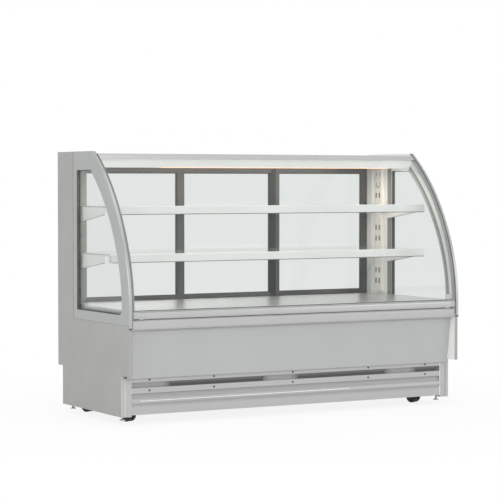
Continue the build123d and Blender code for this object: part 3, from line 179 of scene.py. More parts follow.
# Shelves, brackets and slotted standards
BACK_X = (0.0024, 0.0032)  # behind the face of a standard
BACK_IN_Y, BACK_IN_Z = 0.003, 0.004
SLOT_ROWS_Y = (0.284, 0.315)
SLOT_Z0, SLOT_STEP, SLOT_COUNT = 0.613, 0.058, 11
SLOT_HALF_Y, SLOT_HALF_Z = 0.003, 0.012
SLOT_LINED_Z = 1.10  # the slots above have no liner
LINER_LIP = 0.0016
LINER_SECTION = ((LINER_LIP, -0.0001), (LINER_LIP, -0.0005), (0.0004, -0.0007), (-0.0003, -0.0005),
                 (-0.0003, 0.0020), (0.0, 0.0020))  # growth of the outline and place behind the face
LINER_OUTLINE = ((-1, -0.9), (-0.7, -1), (0.7, -1), (1, -0.9), (1, 0.9), (0.7, 1), (-0.7, 1), (-1, 0.9))
BRACKET_EDGE = ((-0.068, 0.991), (0.203, 0.952))  # lower edge of the upper brackets, as (y, z)
BRACKET_FACE_X = 0.9047
BRACKET_BEAD_X = BRACKET_FACE_X + 0.0015
BRACKET_BEAD_UP = 0.0003
BRACKET_BEAD_R = (0.0022, 0.0018)
SHELF_STEP = 0.232
LIP_IN_X, LIP_IN_Y, LIP_UP, LIP_R = 0.002, 0.0010, 0.0004, 0.0016

# Camera and lamps, each lamp with its place, what it faces, width, height and power in watts
PHOTO_WIDTH = 500
PHOTO_FOCUS = 1944.58  # focal length of the photograph, in its own pixels
SENSOR = 36.0
CAMERA_AT = (-4.91317, -8.57653, 1.15117)
CAMERA_DOWN, CAMERA_RIGHT = 2.011, 29.50
LAMPS = (
    ("key", (-2.6, -6.2, 2.4), (0, 0, 0.7), 3.6, 2.4, 104),
    ("side", (-5.2, -1.6, 1.9), (-0.4, -0.2, 0.6), 2.4, 2.4, 36),
    ("fill", (4.0, -4.6, 1.9), (0.3, 0, 0.7), 3.0, 2.4, 40),
    ("top", (-0.6, -1.6, 5.0), (0, 0, 0.7), 3.0, 2.0, 45),
    ("back", (0.5, 4.5, 3.4), (0, 0, 0.8), 3.4, 2.0, 60),
)
DISPLAY_LIGHT = (1.0, 0.88, 0.76)
DISPLAY_POWER = 4.5
DISPLAY_DROP, DISPLAY_IN, DISPLAY_W = 0.004, 0.03, 0.04
DISPLAY_AIM = (0.12, 0.5)  # how far behind the lamp it points, and at what height
WORLD_LIGHT = 0.62
WHITE = (1, 1, 1, 1)
PANES = ("front_glass", "side_glass_left", "side_glass_right", "door_glass_left", "door_glass_center",
         "door_glass_right")
FLOOR_HALF, FLOOR_DROP = 30.0, 0.0005
SHADOW_NEAR, SHADOW_FAR = 1.0, 2.2  # the floor's own shading fades out between these distances
FLOOR_WHITE = 0.88
FLOOR_PAPER = (0.9, 0.9, 0.9, 1)


# Materials


MIX_A, MIX_B, MIX_RESULT = 6, 7, 2  # the colour sockets of a Mix node


def srgb(red, green, blue):
    """A colour given in 0 to 255 steps as the linear values that shaders take."""
    steps = [value / 255 for value in (red, green, blue)]
    return (*(s / 12.92 if s <= 0.04045 else ((s + 0.055) / 1.055) ** 2.4 for s in steps), 1.0)


def scaled(color, share):
    """A colour made darker or lighter."""
    return (*(min(1, part * share) for part in color[:3]), 1)


class Nodes:
    """The node tree of a new material or world, with short calls to add and join nodes."""

    def __init__(self, name, world=False):
        self.owner = (bpy.data.worlds if world else bpy.data.materials).new(name)
        self.owner.use_nodes = True
        self.tree = self.owner.node_tree
        self.tree.nodes.clear()
        self.out = self.add("OutputWorld" if world else "OutputMaterial")
        self.coords = None

    def add(self, kind, inputs=None, **settings):
        """A new node, with its settings, and its inputs set to values or joined to sockets."""
        node = self.tree.nodes.new(f"ShaderNode{kind}")
        for key, value in settings.items():
            setattr(node, key, value)
        for key, value in (inputs or {}).items():
            if isinstance(value, bpy.types.NodeSocket):
                self.tree.links.new(value, node.inputs[key])
            else:
                node.inputs[key].default_value = value
        return node

    def math(self, operation, *values):
        """The result of an operation on numbers or sockets."""
        return self.add("Math", dict(enumerate(values)), operation=operation).outputs[0]

    def place(self, scale=(1, 1, 1)):
        """Object coordinates, stretched by scale."""
        if self.coords is None:
            self.coords = self.add("TexCoord").outputs["Object"]
        return self.add("Mapping", {"Vector": self.coords, "Scale": scale}).outputs["Vector"]

    def axis(self, letter):
        """One object coordinate."""
        return self.add("SeparateXYZ", {0: self.place()}).outputs[letter]

    def noise(self, size, detail=2.0, stretch=(1, 1, 1)):
        """Noise whose lumps are about size metres across."""
        inputs = {"Vector": self.place(stretch), "Scale": 1 / size, "Detail": detail, "Roughness": 0.55}
        return self.add("TexNoise", inputs).outputs["Fac"]

    def ramp(self, value, start, end, low, high, smooth=False):
        """A value mapped so that start to end becomes low to high."""
        inputs = {"Value": value, "From Min": start, "From Max": end, "To Min": low, "To Max": high}
        kind = "SMOOTHSTEP" if smooth else "LINEAR"
        return self.add("MapRange", inputs, interpolation_type=kind).outputs["Result"]

    def spread(self, value, low, high):
        """Noise mapped to run from low to high."""
        return self.ramp(value, 0.3, 0.7, low, high)

    def blend(self, factor, first, second):
        """A mix of two colours, each a colour or a socket."""
        inputs = {0: factor, MIX_A: first, MIX_B: second}
        return self.add("Mix", inputs, data_type="RGBA").outputs[MIX_RESULT]

    def shade(self, color, amount, value):
        """The colour, made darker and lighter by amount with value."""
        return self.blend(self.spread(value, 0, 1), scaled(color, 1 - amount), scaled(color, 1 + amount))

    def bump(self, height, strength, distance):
        """A bumped normal."""
        inputs = {"Height": height, "Strength": strength, "Distance": distance}
        return self.add("Bump", inputs).outputs["Normal"]

    def seen_directly(self):
        """1 for rays that meet the white background: from the camera, or by way of gloss or glass."""
        path = self.add("LightPath").outputs
        either = self.math("MAXIMUM", path["Is Camera Ray"], path["Is Glossy Ray"])
        return self.math("MAXIMUM", either, path["Is Transmission Ray"])

    def finish(self, shader):
        """Join the shader to the output and return the material or world."""
        self.tree.links.new(shader.outputs[0], self.out.inputs["Surface"])
        return self.owner

    def surface(self, inputs):
        """Finish with one shader of these inputs."""
        return self.finish(self.add("BsdfPrincipled", inputs))

    def mixed(self, factor, first, second):
        """Finish with a mix of two shaders."""
        return self.finish(self.add("MixShader", {0: factor, 1: first.outputs[0], 2: second.outputs[0]}))


def painted(name, color, rough, peel=0.0012, depth=0.00006, soil=0.035, coat=0.12):
    """Coated sheet: faint orange peel, slightly uneven gloss and colour."""
    n = Nodes(name)
    return n.surface({
        "Base Color": n.shade(color, soil, n.noise(0.22, 4)),
        "Roughness": n.spread(n.noise(0.05, 4), rough - 0.05, rough + 0.06),
        "Normal": n.bump(n.noise(peel, 3), 0.35, depth),
        "Coat Weight": coat,
        "Coat Roughness": 0.18,
    })


def brushed(name, color, rough, along="X", metal=0.8):
    """Brushed or extruded metal, with its fine lines running along one axis."""
    n = Nodes(name)
    stretch = tuple(0.02 if axis == along else 1.0 for axis in "XYZ")
    lines = n.noise(0.0009, 3, stretch)
    return n.surface({
        "Base Color": n.shade(color, 0.04, n.noise(0.12, 3, stretch)),
        "Metallic": metal,
        "Roughness": n.spread(lines, rough - 0.07, rough + 0.08),
        "Normal": n.bump(lines, 0.4, 0.00003),
    })


def lacquered(name, color, rough, metal=0.35, coat=0.2):
    """Silver or grey lacquer over extruded metal: fine flakes, partly metallic."""
    n = Nodes(name)
    flakes = n.noise(0.0006, 2)
    return n.surface({
        "Base Color": n.shade(color, 0.03, n.noise(0.18, 3)),
        "Metallic": metal,
        "Roughness": n.spread(flakes, rough - 0.06, rough + 0.08),
        "Normal": n.bump(flakes, 0.1, 0.00002),
        "Coat Weight": coat,
        "Coat Roughness": 0.15,
    })


def moulded(name, color, rough, grain=0.0008, depth=0.00008, mottle=0.12):
    """Moulded plastic or rubber with a fine grain."""
    n = Nodes(name)
    return n.surface({
        "Base Color": n.shade(color, mottle, n.noise(0.03, 4)),
        "Roughness": n.spread(n.noise(0.02, 3), rough - 0.06, rough + 0.08),
        "Normal": n.bump(n.noise(grain, 2), 0.45, depth),
    })


def glazing(name, color, share):
    """Clear glass: see-through, with a mirror that grows stronger towards a glancing view."""
    n = Nodes(name)
    clear = n.add("BsdfTransparent", {"Color": color})
    gloss = n.add("BsdfPrincipled", {
        "Base Color": srgb(250, 252, 251),
        "Metallic": 1.0,
        "Roughness": n.spread(n.noise(0.09, 5), 0.01, 0.035),
    })
    facing = n.add("LayerWeight", {"Blend": 0.5}).outputs["Facing"]
    mirror = n.math("MULTIPLY_ADD", n.math("POWER", facing, 5.0), 1 - share, share)
    return n.mixed(mirror, clear, gloss)


def glowing(name, color, strength, rough=0.35):
    """An opal cover lit from behind, a little uneven along its length; also the diffuser's warm edge line, a
    painted reflection that glows though no lamp lies behind it.
    """
    n = Nodes(name)
    return n.surface({
        "Base Color": n.shade(color, 0.012, n.noise(0.3, 2, (0.4, 1, 1))),
        "Roughness": rough,
        "Emission Color": color,
        "Emission Strength": strength,
        "Normal": n.bump(n.noise(0.002, 2), 0.15, 0.0001),
    })


def shaded_round_spans(name, color, dark, spans, fade):
    """Coated sheet with painted shade that darkens it softly along X round each span, beside the air outlets."""
    n = Nodes(name)
    x = n.axis("X")
    depth = 0.0
    for start, end in spans:
        rising = n.ramp(x, start - fade, start + fade / 2, 0, 1, True)
        falling = n.ramp(x, end - fade / 2, end + fade, 1, 0, True)
        depth = n.math("MAXIMUM", depth, n.math("MULTIPLY", rising, falling))
    return n.surface({
        "Base Color": n.blend(depth, n.shade(color, 0.04, n.noise(0.12, 4)), srgb(*dark)),
        "Roughness": n.spread(n.noise(0.05, 4), 0.30, 0.42),
        "Normal": n.bump(n.noise(0.0012, 3), 0.3, 0.00005),
        "Coat Weight": 0.15,
    })


def ribbed(name, color, shades):
    """Coated sheet with painted shade and light along Z, darker in its grooves and creases, given as (z, share of
    the colour).
    """
    n = Nodes(name)
    low, high = shades[0][0], shades[-1][0]
    ramp = n.add("ValToRGB", {"Fac": n.ramp(n.axis("Z"), low, high, 0.0, 1.0)})
    stops = ramp.color_ramp.elements
    for level, _ in shades[1:-1]:
        stops.new((level - low) / (high - low))
    for stop, (_, share) in zip(stops, shades):
        stop.color = scaled(color, share)
    return n.surface({
        "Base Color": ramp.outputs["Color"],
        "Roughness": n.spread(n.noise(0.05, 4), 0.28, 0.38),
        "Normal": n.bump(n.noise(0.0012, 3), 0.35, 0.00006),
        "Coat Weight": 0.25,
        "Coat Roughness": 0.15,
    })


def woolly(name, color):
    """Mineral wool: matted fibres in soft, uneven layers."""
    n = Nodes(name)
    fibres = n.noise(0.0016, 6, (0.25, 0.6, 1))
    return n.surface({
        "Base Color": n.shade(color, 0.3, fibres),
        "Roughness": n.spread(n.noise(0.01, 3), 0.85, 1.0),
        "Normal": n.bump(fibres, 0.8, 0.0012),
    })


MATERIALS = {}


def material(name, kind, color, *values, **more):
    """Make a material of one kind, with its colour in 0 to 255 steps, and keep it under its name."""
    MATERIALS[name] = kind(name, srgb(*color), *values, **more)


KICK_PAINT = (182, 183, 182)
material("end_paint", painted, (163, 163, 160), 0.46)
material("silver_frame", lacquered, (165, 169, 168), 0.40, metal=0.12)
material("bright_nose", brushed, (174, 176, 175), 0.32, along="Z", metal=0.5)
material("white_liner", painted, (242, 243, 242), 0.38)
material("inner_white", painted, (250, 250, 248), 0.40)
material("header_paint", painted, (214, 208, 200), 0.45)
material("glazing", glazing, (245.2, 246.2, 245.8), 0.02)
material("front_glazing", glazing, (249.2, 250.2, 249.7), 0.02)
material("glass_edge", painted, (198, 206, 203), 0.16, peel=0.002, depth=0.00002, soil=0.05)
material("black_rubber", moulded, (84, 84, 83), 0.62, depth=0.00004, mottle=0.05)
material("strip_rubber", moulded, (114, 115, 114), 0.5, depth=0.00003, mottle=0.04)
material("seal_grey", moulded, (176, 178, 177), 0.5, depth=0.00003, mottle=0.03)
material("seam_filler", moulded, (82, 82, 80), 0.5, depth=0.00002, mottle=0.05)
material("band_grey", painted, (150, 151, 150), 0.35)
material("stile_cover", moulded, (142, 143, 141), 0.5, depth=0.00002, mottle=0.03)
material("front_paint", painted, (181, 183, 182), 0.40, soil=0.015)
# Painted shade in the kick's grooves and creases, from KICK_SHADES
material("kick_paint", ribbed, KICK_PAINT, KICK_SHADES)
material("post_paint", painted, KICK_PAINT, 0.30, coat=0.3)
# Painted shade and light on the dark sheets behind the kick's outlets
material("vent_filter", ribbed, (76, 76, 75), VENT_SHADE_LEVELS)
# The kick's recessed channel: painted shade, darker round the air outlets
material("kick_channel", shaded_round_spans, (160, 161, 160), (96, 96, 95), VENTS, VENT_FADE)
material("ledge_profile", painted, (180, 181, 180), 0.34, peel=0.0015, depth=0.00004, soil=0.015)
material("cap_plastic", moulded, (180, 181, 180), 0.4, grain=0.0009, depth=0.00003, mottle=0.02)
material("rail_grey", lacquered, (183, 184, 183), 0.30)
material("canopy_paint", painted, (182, 183, 182), 0.55, coat=0.02)
material("frame_steel", painted, (78, 79, 80), 0.58, peel=0.002, depth=0.0001, soil=0.12)
material("rear_steel", painted, (176, 178, 177), 0.45)
material("well_steel", brushed, (168, 171, 174), 0.42)
material("deck_steel", brushed, (206, 206, 205), 0.30, metal=0.75)
material("mineral_wool", woolly, (196, 178, 128))
material("white_enamel", painted, (240, 241, 240), 0.34)
# White enamel whose warm tint is a painted reflection
material("warm_enamel", painted, (252, 248, 243), 0.36)
material("door_dark", lacquered, (84, 84, 83), 0.38)
material("door_lap", lacquered, (26, 26, 26), 0.42, metal=0.1, coat=0.1)
material("lamp_opal", glowing, (240, 240, 238), 0.35)
# A painted warm reflection that glows along the diffuser's edge
material("warm_glow", glowing, (255, 196, 140), 0.9)
material("led_board", painted, (228, 229, 226), 0.35)
material("led_chip", glowing, (252, 248, 236), 6.0, rough=0.3)
material("heater_sheath", brushed, (128, 120, 112), 0.45)
material("screw_black", moulded, (24, 24, 25), 0.35, grain=0.0005, depth=0.00003)
material("screw_steel", brushed, (186, 187, 188), 0.3)
material("caster_black", moulded, (22, 22, 22), 0.42)
material("caster_tread", moulded, (30, 30, 30), 0.55)
material("foot_zinc", brushed, (214, 215, 216), 0.3, along="Z", metal=0.6)
material("fan_black", moulded, (34, 34, 36), 0.5)
material("control_grey", painted, (92, 94, 96), 0.42)
material("switch_black", moulded, (18, 18, 18), 0.22, grain=0.0006, depth=0.00002)
material("mark_white", painted, (236, 236, 234), 0.5)

NODE_FINISH = {
    "kick_grille": "kick_paint", "kick_corners": "post_paint", "front_glass": "front_glazing",
    "door_header": "header_paint", "canopy": "canopy_paint", "shelf_standards": "warm_enamel",
    "shelf_brackets": "inner_white",
}


# CAD nodes: their finishes and softened edges


def modify(node, kind, **settings):
    """Add a modifier with its settings."""
    modifier = node.modifiers.new(kind.lower(), kind)
    for key, value in settings.items():
        setattr(modifier, key, value)


def soften(node, width):
    """Weld a node's faces, merge flat ones and round sharp edges, so that they catch the light."""
    modify(node, "WELD", merge_threshold=0.000001)
    modify(node, "DECIMATE", decimate_type="DISSOLVE", angle_limit=math.radians(0.2),
           delimit={"NORMAL", "MATERIAL"})
    modify(node, "BEVEL", width=width, segments=2, limit_method="ANGLE", angle_limit=math.radians(35),
           use_clamp_overlap=True, harden_normals=True)


def solids(name):
    """Each separate solid of a CAD node: its faces, lowest corner and highest corner."""
    mesh = NODES[name].data
    places = [tuple(round(value, 6) for value in vertex.co) for vertex in mesh.vertices]
    parent = {place: place for place in places}

    def root(place):
        while parent[place] != place:
            parent[place] = parent[parent[place]]
            place = parent[place]
        return place

    for face in mesh.polygons:
        first = root(places[face.vertices[0]])
        for index in face.vertices[1:]:
            parent[root(places[index])] = first
    groups = {}
    for face in mesh.polygons:
        groups.setdefault(root(places[face.vertices[0]]), []).append(face)
    found = []
    for faces in groups.values():
        points = [mesh.vertices[index].co for face in faces for index in face.vertices]
        low, high = (Vector([pick(point[axis] for point in points) for axis in range(3)])
                     for pick in (min, max))
        found.append((faces, low, high))
    return found


def boxes(name):
    """The lowest and highest corner of each solid of a CAD node."""
    return [(low, high) for _, low, high in solids(name)]


def middle_of(low, high):
    """The middle of a box."""
    return (low + high) / 2


def refinish(name, finish, faces):
    """Give some faces of a node another finish."""
    mesh = NODES[name].data
    mesh.materials.append(MATERIALS[finish])
    for face in faces:
        face.material_index = len(mesh.materials) - 1


def refinish_where(name, finish, chosen):
    """Give the faces of a node whose middle and normal are chosen another finish."""
    refinish(name, finish, [face for face in NODES[name].data.polygons if chosen(face.center, face.normal)])


def in_channel(middle, normal):
    """Whether a face of the kick lies in its recessed air channel."""
    return middle.y > KICK_FACE_Y + CHANNEL_LEAST_IN and CHANNEL_Z[0] < middle.z < CHANNEL_Z[1]


def dress_nodes():
    """Give every CAD node its finish, and some faces a second one."""
    for name, node in NODES.items():
        node.data.materials.clear()
        node.data.materials.append(MATERIALS[NODE_FINISH.get(name, SLOT_OF[name])])
    for width, names in SOFT_EDGES.items():
        for name in names:
            soften(NODES[name], width)
    # The ends' inner faces are white, lighter than their outer paint: partly two-tone paint, partly painted light
    # where they lie in shade
    for side, name in zip(SIDES, ("end_panel_left", "end_panel_right")):
        refinish_where(name, "inner_white", lambda middle, normal: normal.x * side < -0.9)
    refinish_where("shelf_glass", "glass_edge", lambda middle, normal: abs(normal.z) < 0.5)
    refinish_where("front_glass", "glass_edge", lambda middle, normal: abs(normal.x) > 0.5)
    refinish_where("kick_grille", "kick_channel", in_channel)
    # The left door's outer stile, seen through the side glass, is lighter grey: a painted reflection
    refinish_where("door_frame_left", "stile_cover", lambda middle, normal: middle.x < OUTER_STILE_X)
    # The rail's underside is painted white to lighten the shade in the gap above the ledge: painted light
    refinish_where("glass_bottom_rail", "inner_white", lambda middle, normal: normal.z < -0.8)
    # The middle door's stile behind the right door is near black from the front: painted shade of the overlap
    refinish_where("door_frame_center", "door_lap",
                   lambda middle, normal: middle.x > LAP_STILE_X and normal.y < 0.5)
    dress_seals()


def dress_seals():
    """The seals' own finishes: rubber by the noses, grey behind the glass, smooth stile covers."""
    parts = {"strip_rubber": [], "seal_grey": [], "stile_cover": []}
    for faces, low, high in solids("frame_seals"):
        if low.y > COVER_Y:
            parts["stile_cover"] += faces
        elif high.z > STRIP_TOP_Z:
            parts["strip_rubber"] += faces
        elif min(abs(low.x), abs(high.x)) < SEAL_X:
            parts["seal_grey"] += faces
    for finish, faces in parts.items():
        refinish("frame_seals", finish, faces)


# Detail pieces


def placed(name, data):
    """A new object in the scene."""
    made = bpy.data.objects.new(name, data)
    bpy.context.scene.collection.objects.link(made)
    return made


class Shape:
    """Closed skins under construction, in metres and in the CAD frame."""

    def __init__(self):
        self.bm = bmesh.new()

    def skin(self, rings, closed=False):
        """Join rings of points that all run the same way round; the two ends are closed or joined."""
        loops = [[self.bm.verts.new(point) for point in ring] for ring in rings]
        if closed:
            loops.append(loops[0])
        for near, far in zip(loops, loops[1:]):
            for i in range(len(near)):
                j = (i + 1) % len(near)
                self.bm.faces.new((near[i], near[j], far[j], far[i]))
        if not closed:
            self.bm.faces.new(list(reversed(loops[0])))
            self.bm.faces.new(loops[-1])

    def along_x(self, outline, places):
        """Join copies of an outline, given as (y, z), at these places along X."""
        self.skin([[(x, y, z) for y, z in outline] for x in places])

    def turned(self, at, along, profile, sides):
        """A turned form: profile is (height along the axis, radius) from one end to the other."""
        along = Vector(along).normalized()
        first, second = axes_for(along)
        rings = []
        for height, radius in profile:
            middle = Vector(at) + along * height
            rings.append([middle + (first * c + second * s) * radius for c, s in circle(sides)])
        self.skin(rings)

    def bead(self, start, end, radius):
        """A straight round bead from one point to another."""
        along = Vector(end) - Vector(start)
        self.turned(start, along, ((0.0, radius), (along.length, radius)), 10)

    def piece(self, name, finish, body, slot=None):
        """Turn the skins into a piece that rides on a body."""
        bmesh.ops.recalc_face_normals(self.bm, faces=self.bm.faces)
        mesh = bpy.data.meshes.new(name)
        self.bm.to_mesh(mesh)
        self.bm.free()
        mesh.materials.append(MATERIALS[finish])
        mesh.shade_smooth()
        mesh.set_sharp_from_angle(angle=math.radians(32))
        made = placed(name, mesh)
        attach(made, body)
        return made


def axes_for(along):
    """Two unit vectors square to a direction and to each other."""
    side = Vector((0, 0, 1)) if abs(along.z) < 0.9 else Vector((1, 0, 0))
    first = along.cross(side).normalized()
    return first, along.cross(first).normalized()


def circle(sides):
    """Evenly spaced points on a circle of radius 1 round the origin."""
    angles = [2 * math.pi * i / sides for i in range(sides)]
    return [(math.cos(a), math.sin(a)) for a in angles]


def oval(radii, sides):
    """The points of an oval round the origin."""
    return [(radii[0] * c, radii[1] * s) for c, s in circle(sides)]


def cross_outline(arm, half):
    """The outline of a cross recess, with three points to each of its twelve sides."""
    corners = []
    for c, s in circle(4):
        corners += [(u * c - v * s, u * s + v * c) for u, v in ((arm, -half), (arm, half), (half, half))]
    points = []
    for (u0, v0), (u1, v1) in zip(corners, corners[1:] + corners[:1]):
        points += [(u0 + (u1 - u0) * step / 3, v0 + (v1 - v0) * step / 3) for step in range(3)]
    return points


def pan_screw(shape, at, along, radius, height, shank=0.0):
    """A pan head with a cross recess, seated at a point; the shank, if any, goes back from it."""
    along = Vector(along)
    first, second = axes_for(along)
    cross = cross_outline(CROSS_ARM * radius, CROSS_HALF * radius)
    rim = [Vector(point).normalized() * radius for point in cross]

    def ring(level, outline, share):
        middle = Vector(at) + along * level
        return [middle + (first * u + second * v) * share for u, v in outline]

    rings = [ring(level * height, cross, share) for level, share in CROSS_RINGS]
    rings += [ring(level * height, rim, share) for level, share in PAN_HEAD]
    if shank:
        rings += [ring(level, rim, SHANK) for level in (0.0, -shank)]
    shape.skin(rings)


def kick_screws():
    """Black cross-head screws in place of the plain ones."""
    shape = Shape()
    for low, high in boxes("kick_screws"):
        middle = middle_of(low, high)
        pan_screw(shape, (middle.x, KICK_FACE_Y, middle.z), (0, -1, 0), (high.x - low.x) / 2,
                  KICK_FACE_Y - low.y, high.y - KICK_FACE_Y)
    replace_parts(shape.piece("cross_head_screws", "screw_black", "case"), "kick_screws")


def board_outline(low, high):
    """The outline, as (y, z), of a circuit board with its edges broken."""
    near_y, far_y = low.y + BOARD_EDGE, high.y - BOARD_EDGE
    near_z, far_z = low.z + BOARD_EDGE, high.z - BOARD_EDGE
    return ((low.y, near_z), (near_y, low.z), (far_y, low.z), (high.y, near_z),
            (high.y, far_z), (far_y, high.z), (near_y, high.z), (low.y, far_z))


def led_strips():
    """Circuit boards with their rows of lamps, in place of the plain strips."""
    boards, chips = Shape(), Shape()
    for low, high in boxes("led_strips"):
        boards.along_x(board_outline(low, high), (low.x, high.x))
        y = (low.y + high.y) / 2
        for i in range(int((high.x - low.x) / CHIP_STEP)):
            x = low.x + (i + 0.5) * CHIP_STEP
            chips.skin([[(x + u * CHIP_L / 2 * share, y + v * CHIP_W / 2 * share, low.z - drop * CHIP_H)
                         for u, v in CORNERS] for drop, share in CHIP_RINGS])
    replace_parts(boards.piece("led_boards", "led_board", "case"), "led_strips")
    chips.piece("led_chips", "led_chip", "case", "led_board")


def louvre_hoods():
    """The pressed hoods over the slots of the rear panel."""
    shape = Shape()
    for column in range(LOUVRE_COLUMNS):
        middle = LOUVRE_FIRST_X + column * LOUVRE_STEP
        for row in LOUVRE_ROWS:
            rings = []
            for i in range(HOOD_STEPS + 1):
                across = math.cos(math.pi * i / HOOD_STEPS)
                x = middle + across * LOUVRE_HALF
                swell = max(HOOD_END_DEEP, 1 - abs(across) ** 3) * LOUVRE_DEEP
                low = row - HOOD_FOOT
                high = row + HOOD_LEAST + LOUVRE_RISE * max(HOOD_END_RISE, 1 - abs(across) ** 4)
                outer, inner = (
                    [(x, REAR_LOW_Y + out * swell, low + up * (high - low)) for out, up in section]
                    for section in (HOOD_OUTER, HOOD_INNER))
                rings.append([*outer, (x, REAR_LOW_Y, high - SHEET), *inner])
            shape.skin(rings)
    shape.piece("louvre_hoods", "rear_steel", "case")


def rear_screws():
    """Screws that hold the rear panel and the control box."""
    shape = Shape()
    for x in REAR_SCREW_X:
        for y, z, height in REAR_SCREW_ROWS:
            pan_screw(shape, (x, y, z), (0, 1, 0), REAR_SCREW_R, height)
    low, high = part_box("control_box")
    for x in (low.x + CONTROL_SCREW_IN, high.x - CONTROL_SCREW_IN):
        for z in (low.z + CONTROL_SCREW_IN, high.z - CONTROL_SCREW_IN):
            pan_screw(shape, (x, CONTROL_FACE_Y, z), (0, 1, 0), CONTROL_SCREW_R, CONTROL_SCREW_H)
    shape.piece("rear_screws", "screw_steel", "case", "foot_zinc")


def bezel_ring(x, grow, rise):
    """A rectangle with rounded corners round a rocker's middle, at one level of its bezel."""
    points = []
    for sx, sz, start in ((1, 1, 0), (-1, 1, 90), (-1, -1, 180), (1, -1, 270)):
        corner = Vector((x + sx * (BEZEL_HALF_X - BEZEL_CORNER), CONTROL_FACE_Y + rise,
                         CONTROL_Z + sz * (BEZEL_HALF_Z - BEZEL_CORNER)))
        for step in range(BEZEL_STEPS + 1):
            a = math.radians(start + 90 * step / BEZEL_STEPS)
            points.append(corner + Vector((math.cos(a), 0, math.sin(a))) * (BEZEL_CORNER + grow))
    return points


def switch_bezels():
    """Bezels round both rockers."""
    shape = Shape()
    top = BEZEL_H - BEZEL_EDGE
    inner = BEZEL_W - BEZEL_EDGE
    section = ((0, 0), (0, top), (BEZEL_EDGE, BEZEL_H), (inner, BEZEL_H), (BEZEL_W, top), (BEZEL_W, 0))
    for name in ROCKERS:
        low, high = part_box(name)
        x = middle_of(low, high).x
        shape.skin([bezel_ring(x, grow, rise) for grow, rise in section], closed=True)
    shape.piece("switch_bezels", "switch_black", "case")


def dial_marks():
    """The ring of marks round the knob, every third one longer and wider."""
    shape = Shape()
    knob = Vector((KNOB_X, CONTROL_FACE_Y, CONTROL_Z))
    for i in range(DIAL_MARKS):
        a = math.radians(DIAL_START - DIAL_SWEEP * i / (DIAL_MARKS - 1))
        far, half = LONG_MARK if i % 3 == 0 else SHORT_MARK
        out = Vector((math.cos(a), 0, math.sin(a)))
        across = Vector((-math.sin(a), 0, math.cos(a))) * half
        corners = [out * DIAL_NEAR - across, out * far - across, out * far + across, out * DIAL_NEAR + across]
        shape.skin([[knob + corner + Vector((0, rise, 0)) for corner in corners]
                    for rise in (0.0, DIAL_RISE)])
    shape.piece("dial_marks", "mark_white", "case", "control_grey")


def knob_pointer():
    """The pointer on the knob's face."""
    shape = Shape()
    low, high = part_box("thermostat_knob")
    near, far = POINTER_Z
    shape.skin([[(KNOB_X + u * half, high.y + rise, CONTROL_Z + z)
                 for u, z in ((-1, near), (1, near), (1, far), (-1, far))] for rise, half in POINTER_RINGS])
    shape.piece("knob_pointer", "mark_white", "thermostat_knob", "control_grey")


def gland_nut():
    """The nut at the foot of the cable gland, and the ribs round its cap."""
    shape = Shape()
    low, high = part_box("power_inlet")
    gland = middle_of(low, high)
    radius = (high.x - low.x) / 2
    shape.turned((gland.x, CONTROL_FACE_Y, gland.z), (0, 1, 0),
                 [(rise, radius + over) for rise, over in GLAND_NUT], HEXAGON)
    levels = [(CONTROL_FACE_Y + rise, share) for rise, share in RIB_FOOT]
    levels += [(high.y + rise, share) for rise, share in RIB_END]
    for c, s in circle(GLAND_RIBS):
        out = Vector((c, 0, s))
        across = Vector((-s, 0, c)) * RIB_HALF
        root = out * (radius - RIB_ROOT)
        rings = []
        for y, share in levels:
            rim = out * (radius + RIB_RISE * share)
            level = Vector((gland.x, y, gland.z))
            rings.append([level + corner for corner in
                          (root - across, rim - across * 0.5, rim + across * 0.5, root + across)])
        shape.skin(rings)
    shape.piece("gland_nut", "switch_black", "case")


def rocker_marks():
    """A bar on the upper half and a ring on the lower half of both rockers."""
    for name in ROCKERS:
        faces = NODES[name].data.polygons
        fronts = [face for face in faces if face.normal.y > 0.7 and face.area > ROCKER_FACE]
        shape = Shape()
        for upper in (True, False):
            half = [face for face in fronts if (face.center.z > CONTROL_Z) == upper]
            normal, across = half[0].normal.copy(), Vector((1, 0, 0))
            up = normal.cross(across)
            middle = sum((face.center for face in half), Vector()) / len(half)
            if upper:
                corners = [across * u * MARK_LINE + up * v * MARK_ARM for u, v in CORNERS]
                shape.skin([[middle + normal * level + corner for corner in corners]
                            for level in (-MARK_RISE, MARK_RISE)])
                continue
            rings = []
            for c, s in circle(20):
                out = across * c + up * s
                rings.append([middle + out * (MARK_ARM + reach * MARK_LINE) + normal * level * MARK_RISE
                              for reach, level in CORNERS])
            shape.skin(rings, closed=True)
        shape.piece(f"marks_{name}", "mark_white", name, "switch_black")


def hub_caps():
    """A domed cap on both faces of every wheel."""
    for joint in frame["joints"]:
        if not joint["name"].startswith("caster_roll"):
            continue
        wheel = joint["child"]
        centre, axis = Vector(joint["pos_m"]), Vector(joint["axis"]).normalized()
        reach = max(abs((vertex.co - centre).dot(axis)) for vertex in NODES[wheel].data.vertices)
        shape = Shape()
        for side in SIDES:
            shape.turned(centre + axis * side * reach, axis * side, HUB_CAP, 28)
        shape.piece(f"hub_caps_{wheel.removeprefix('caster_wheel_')}", "caster_black", wheel)


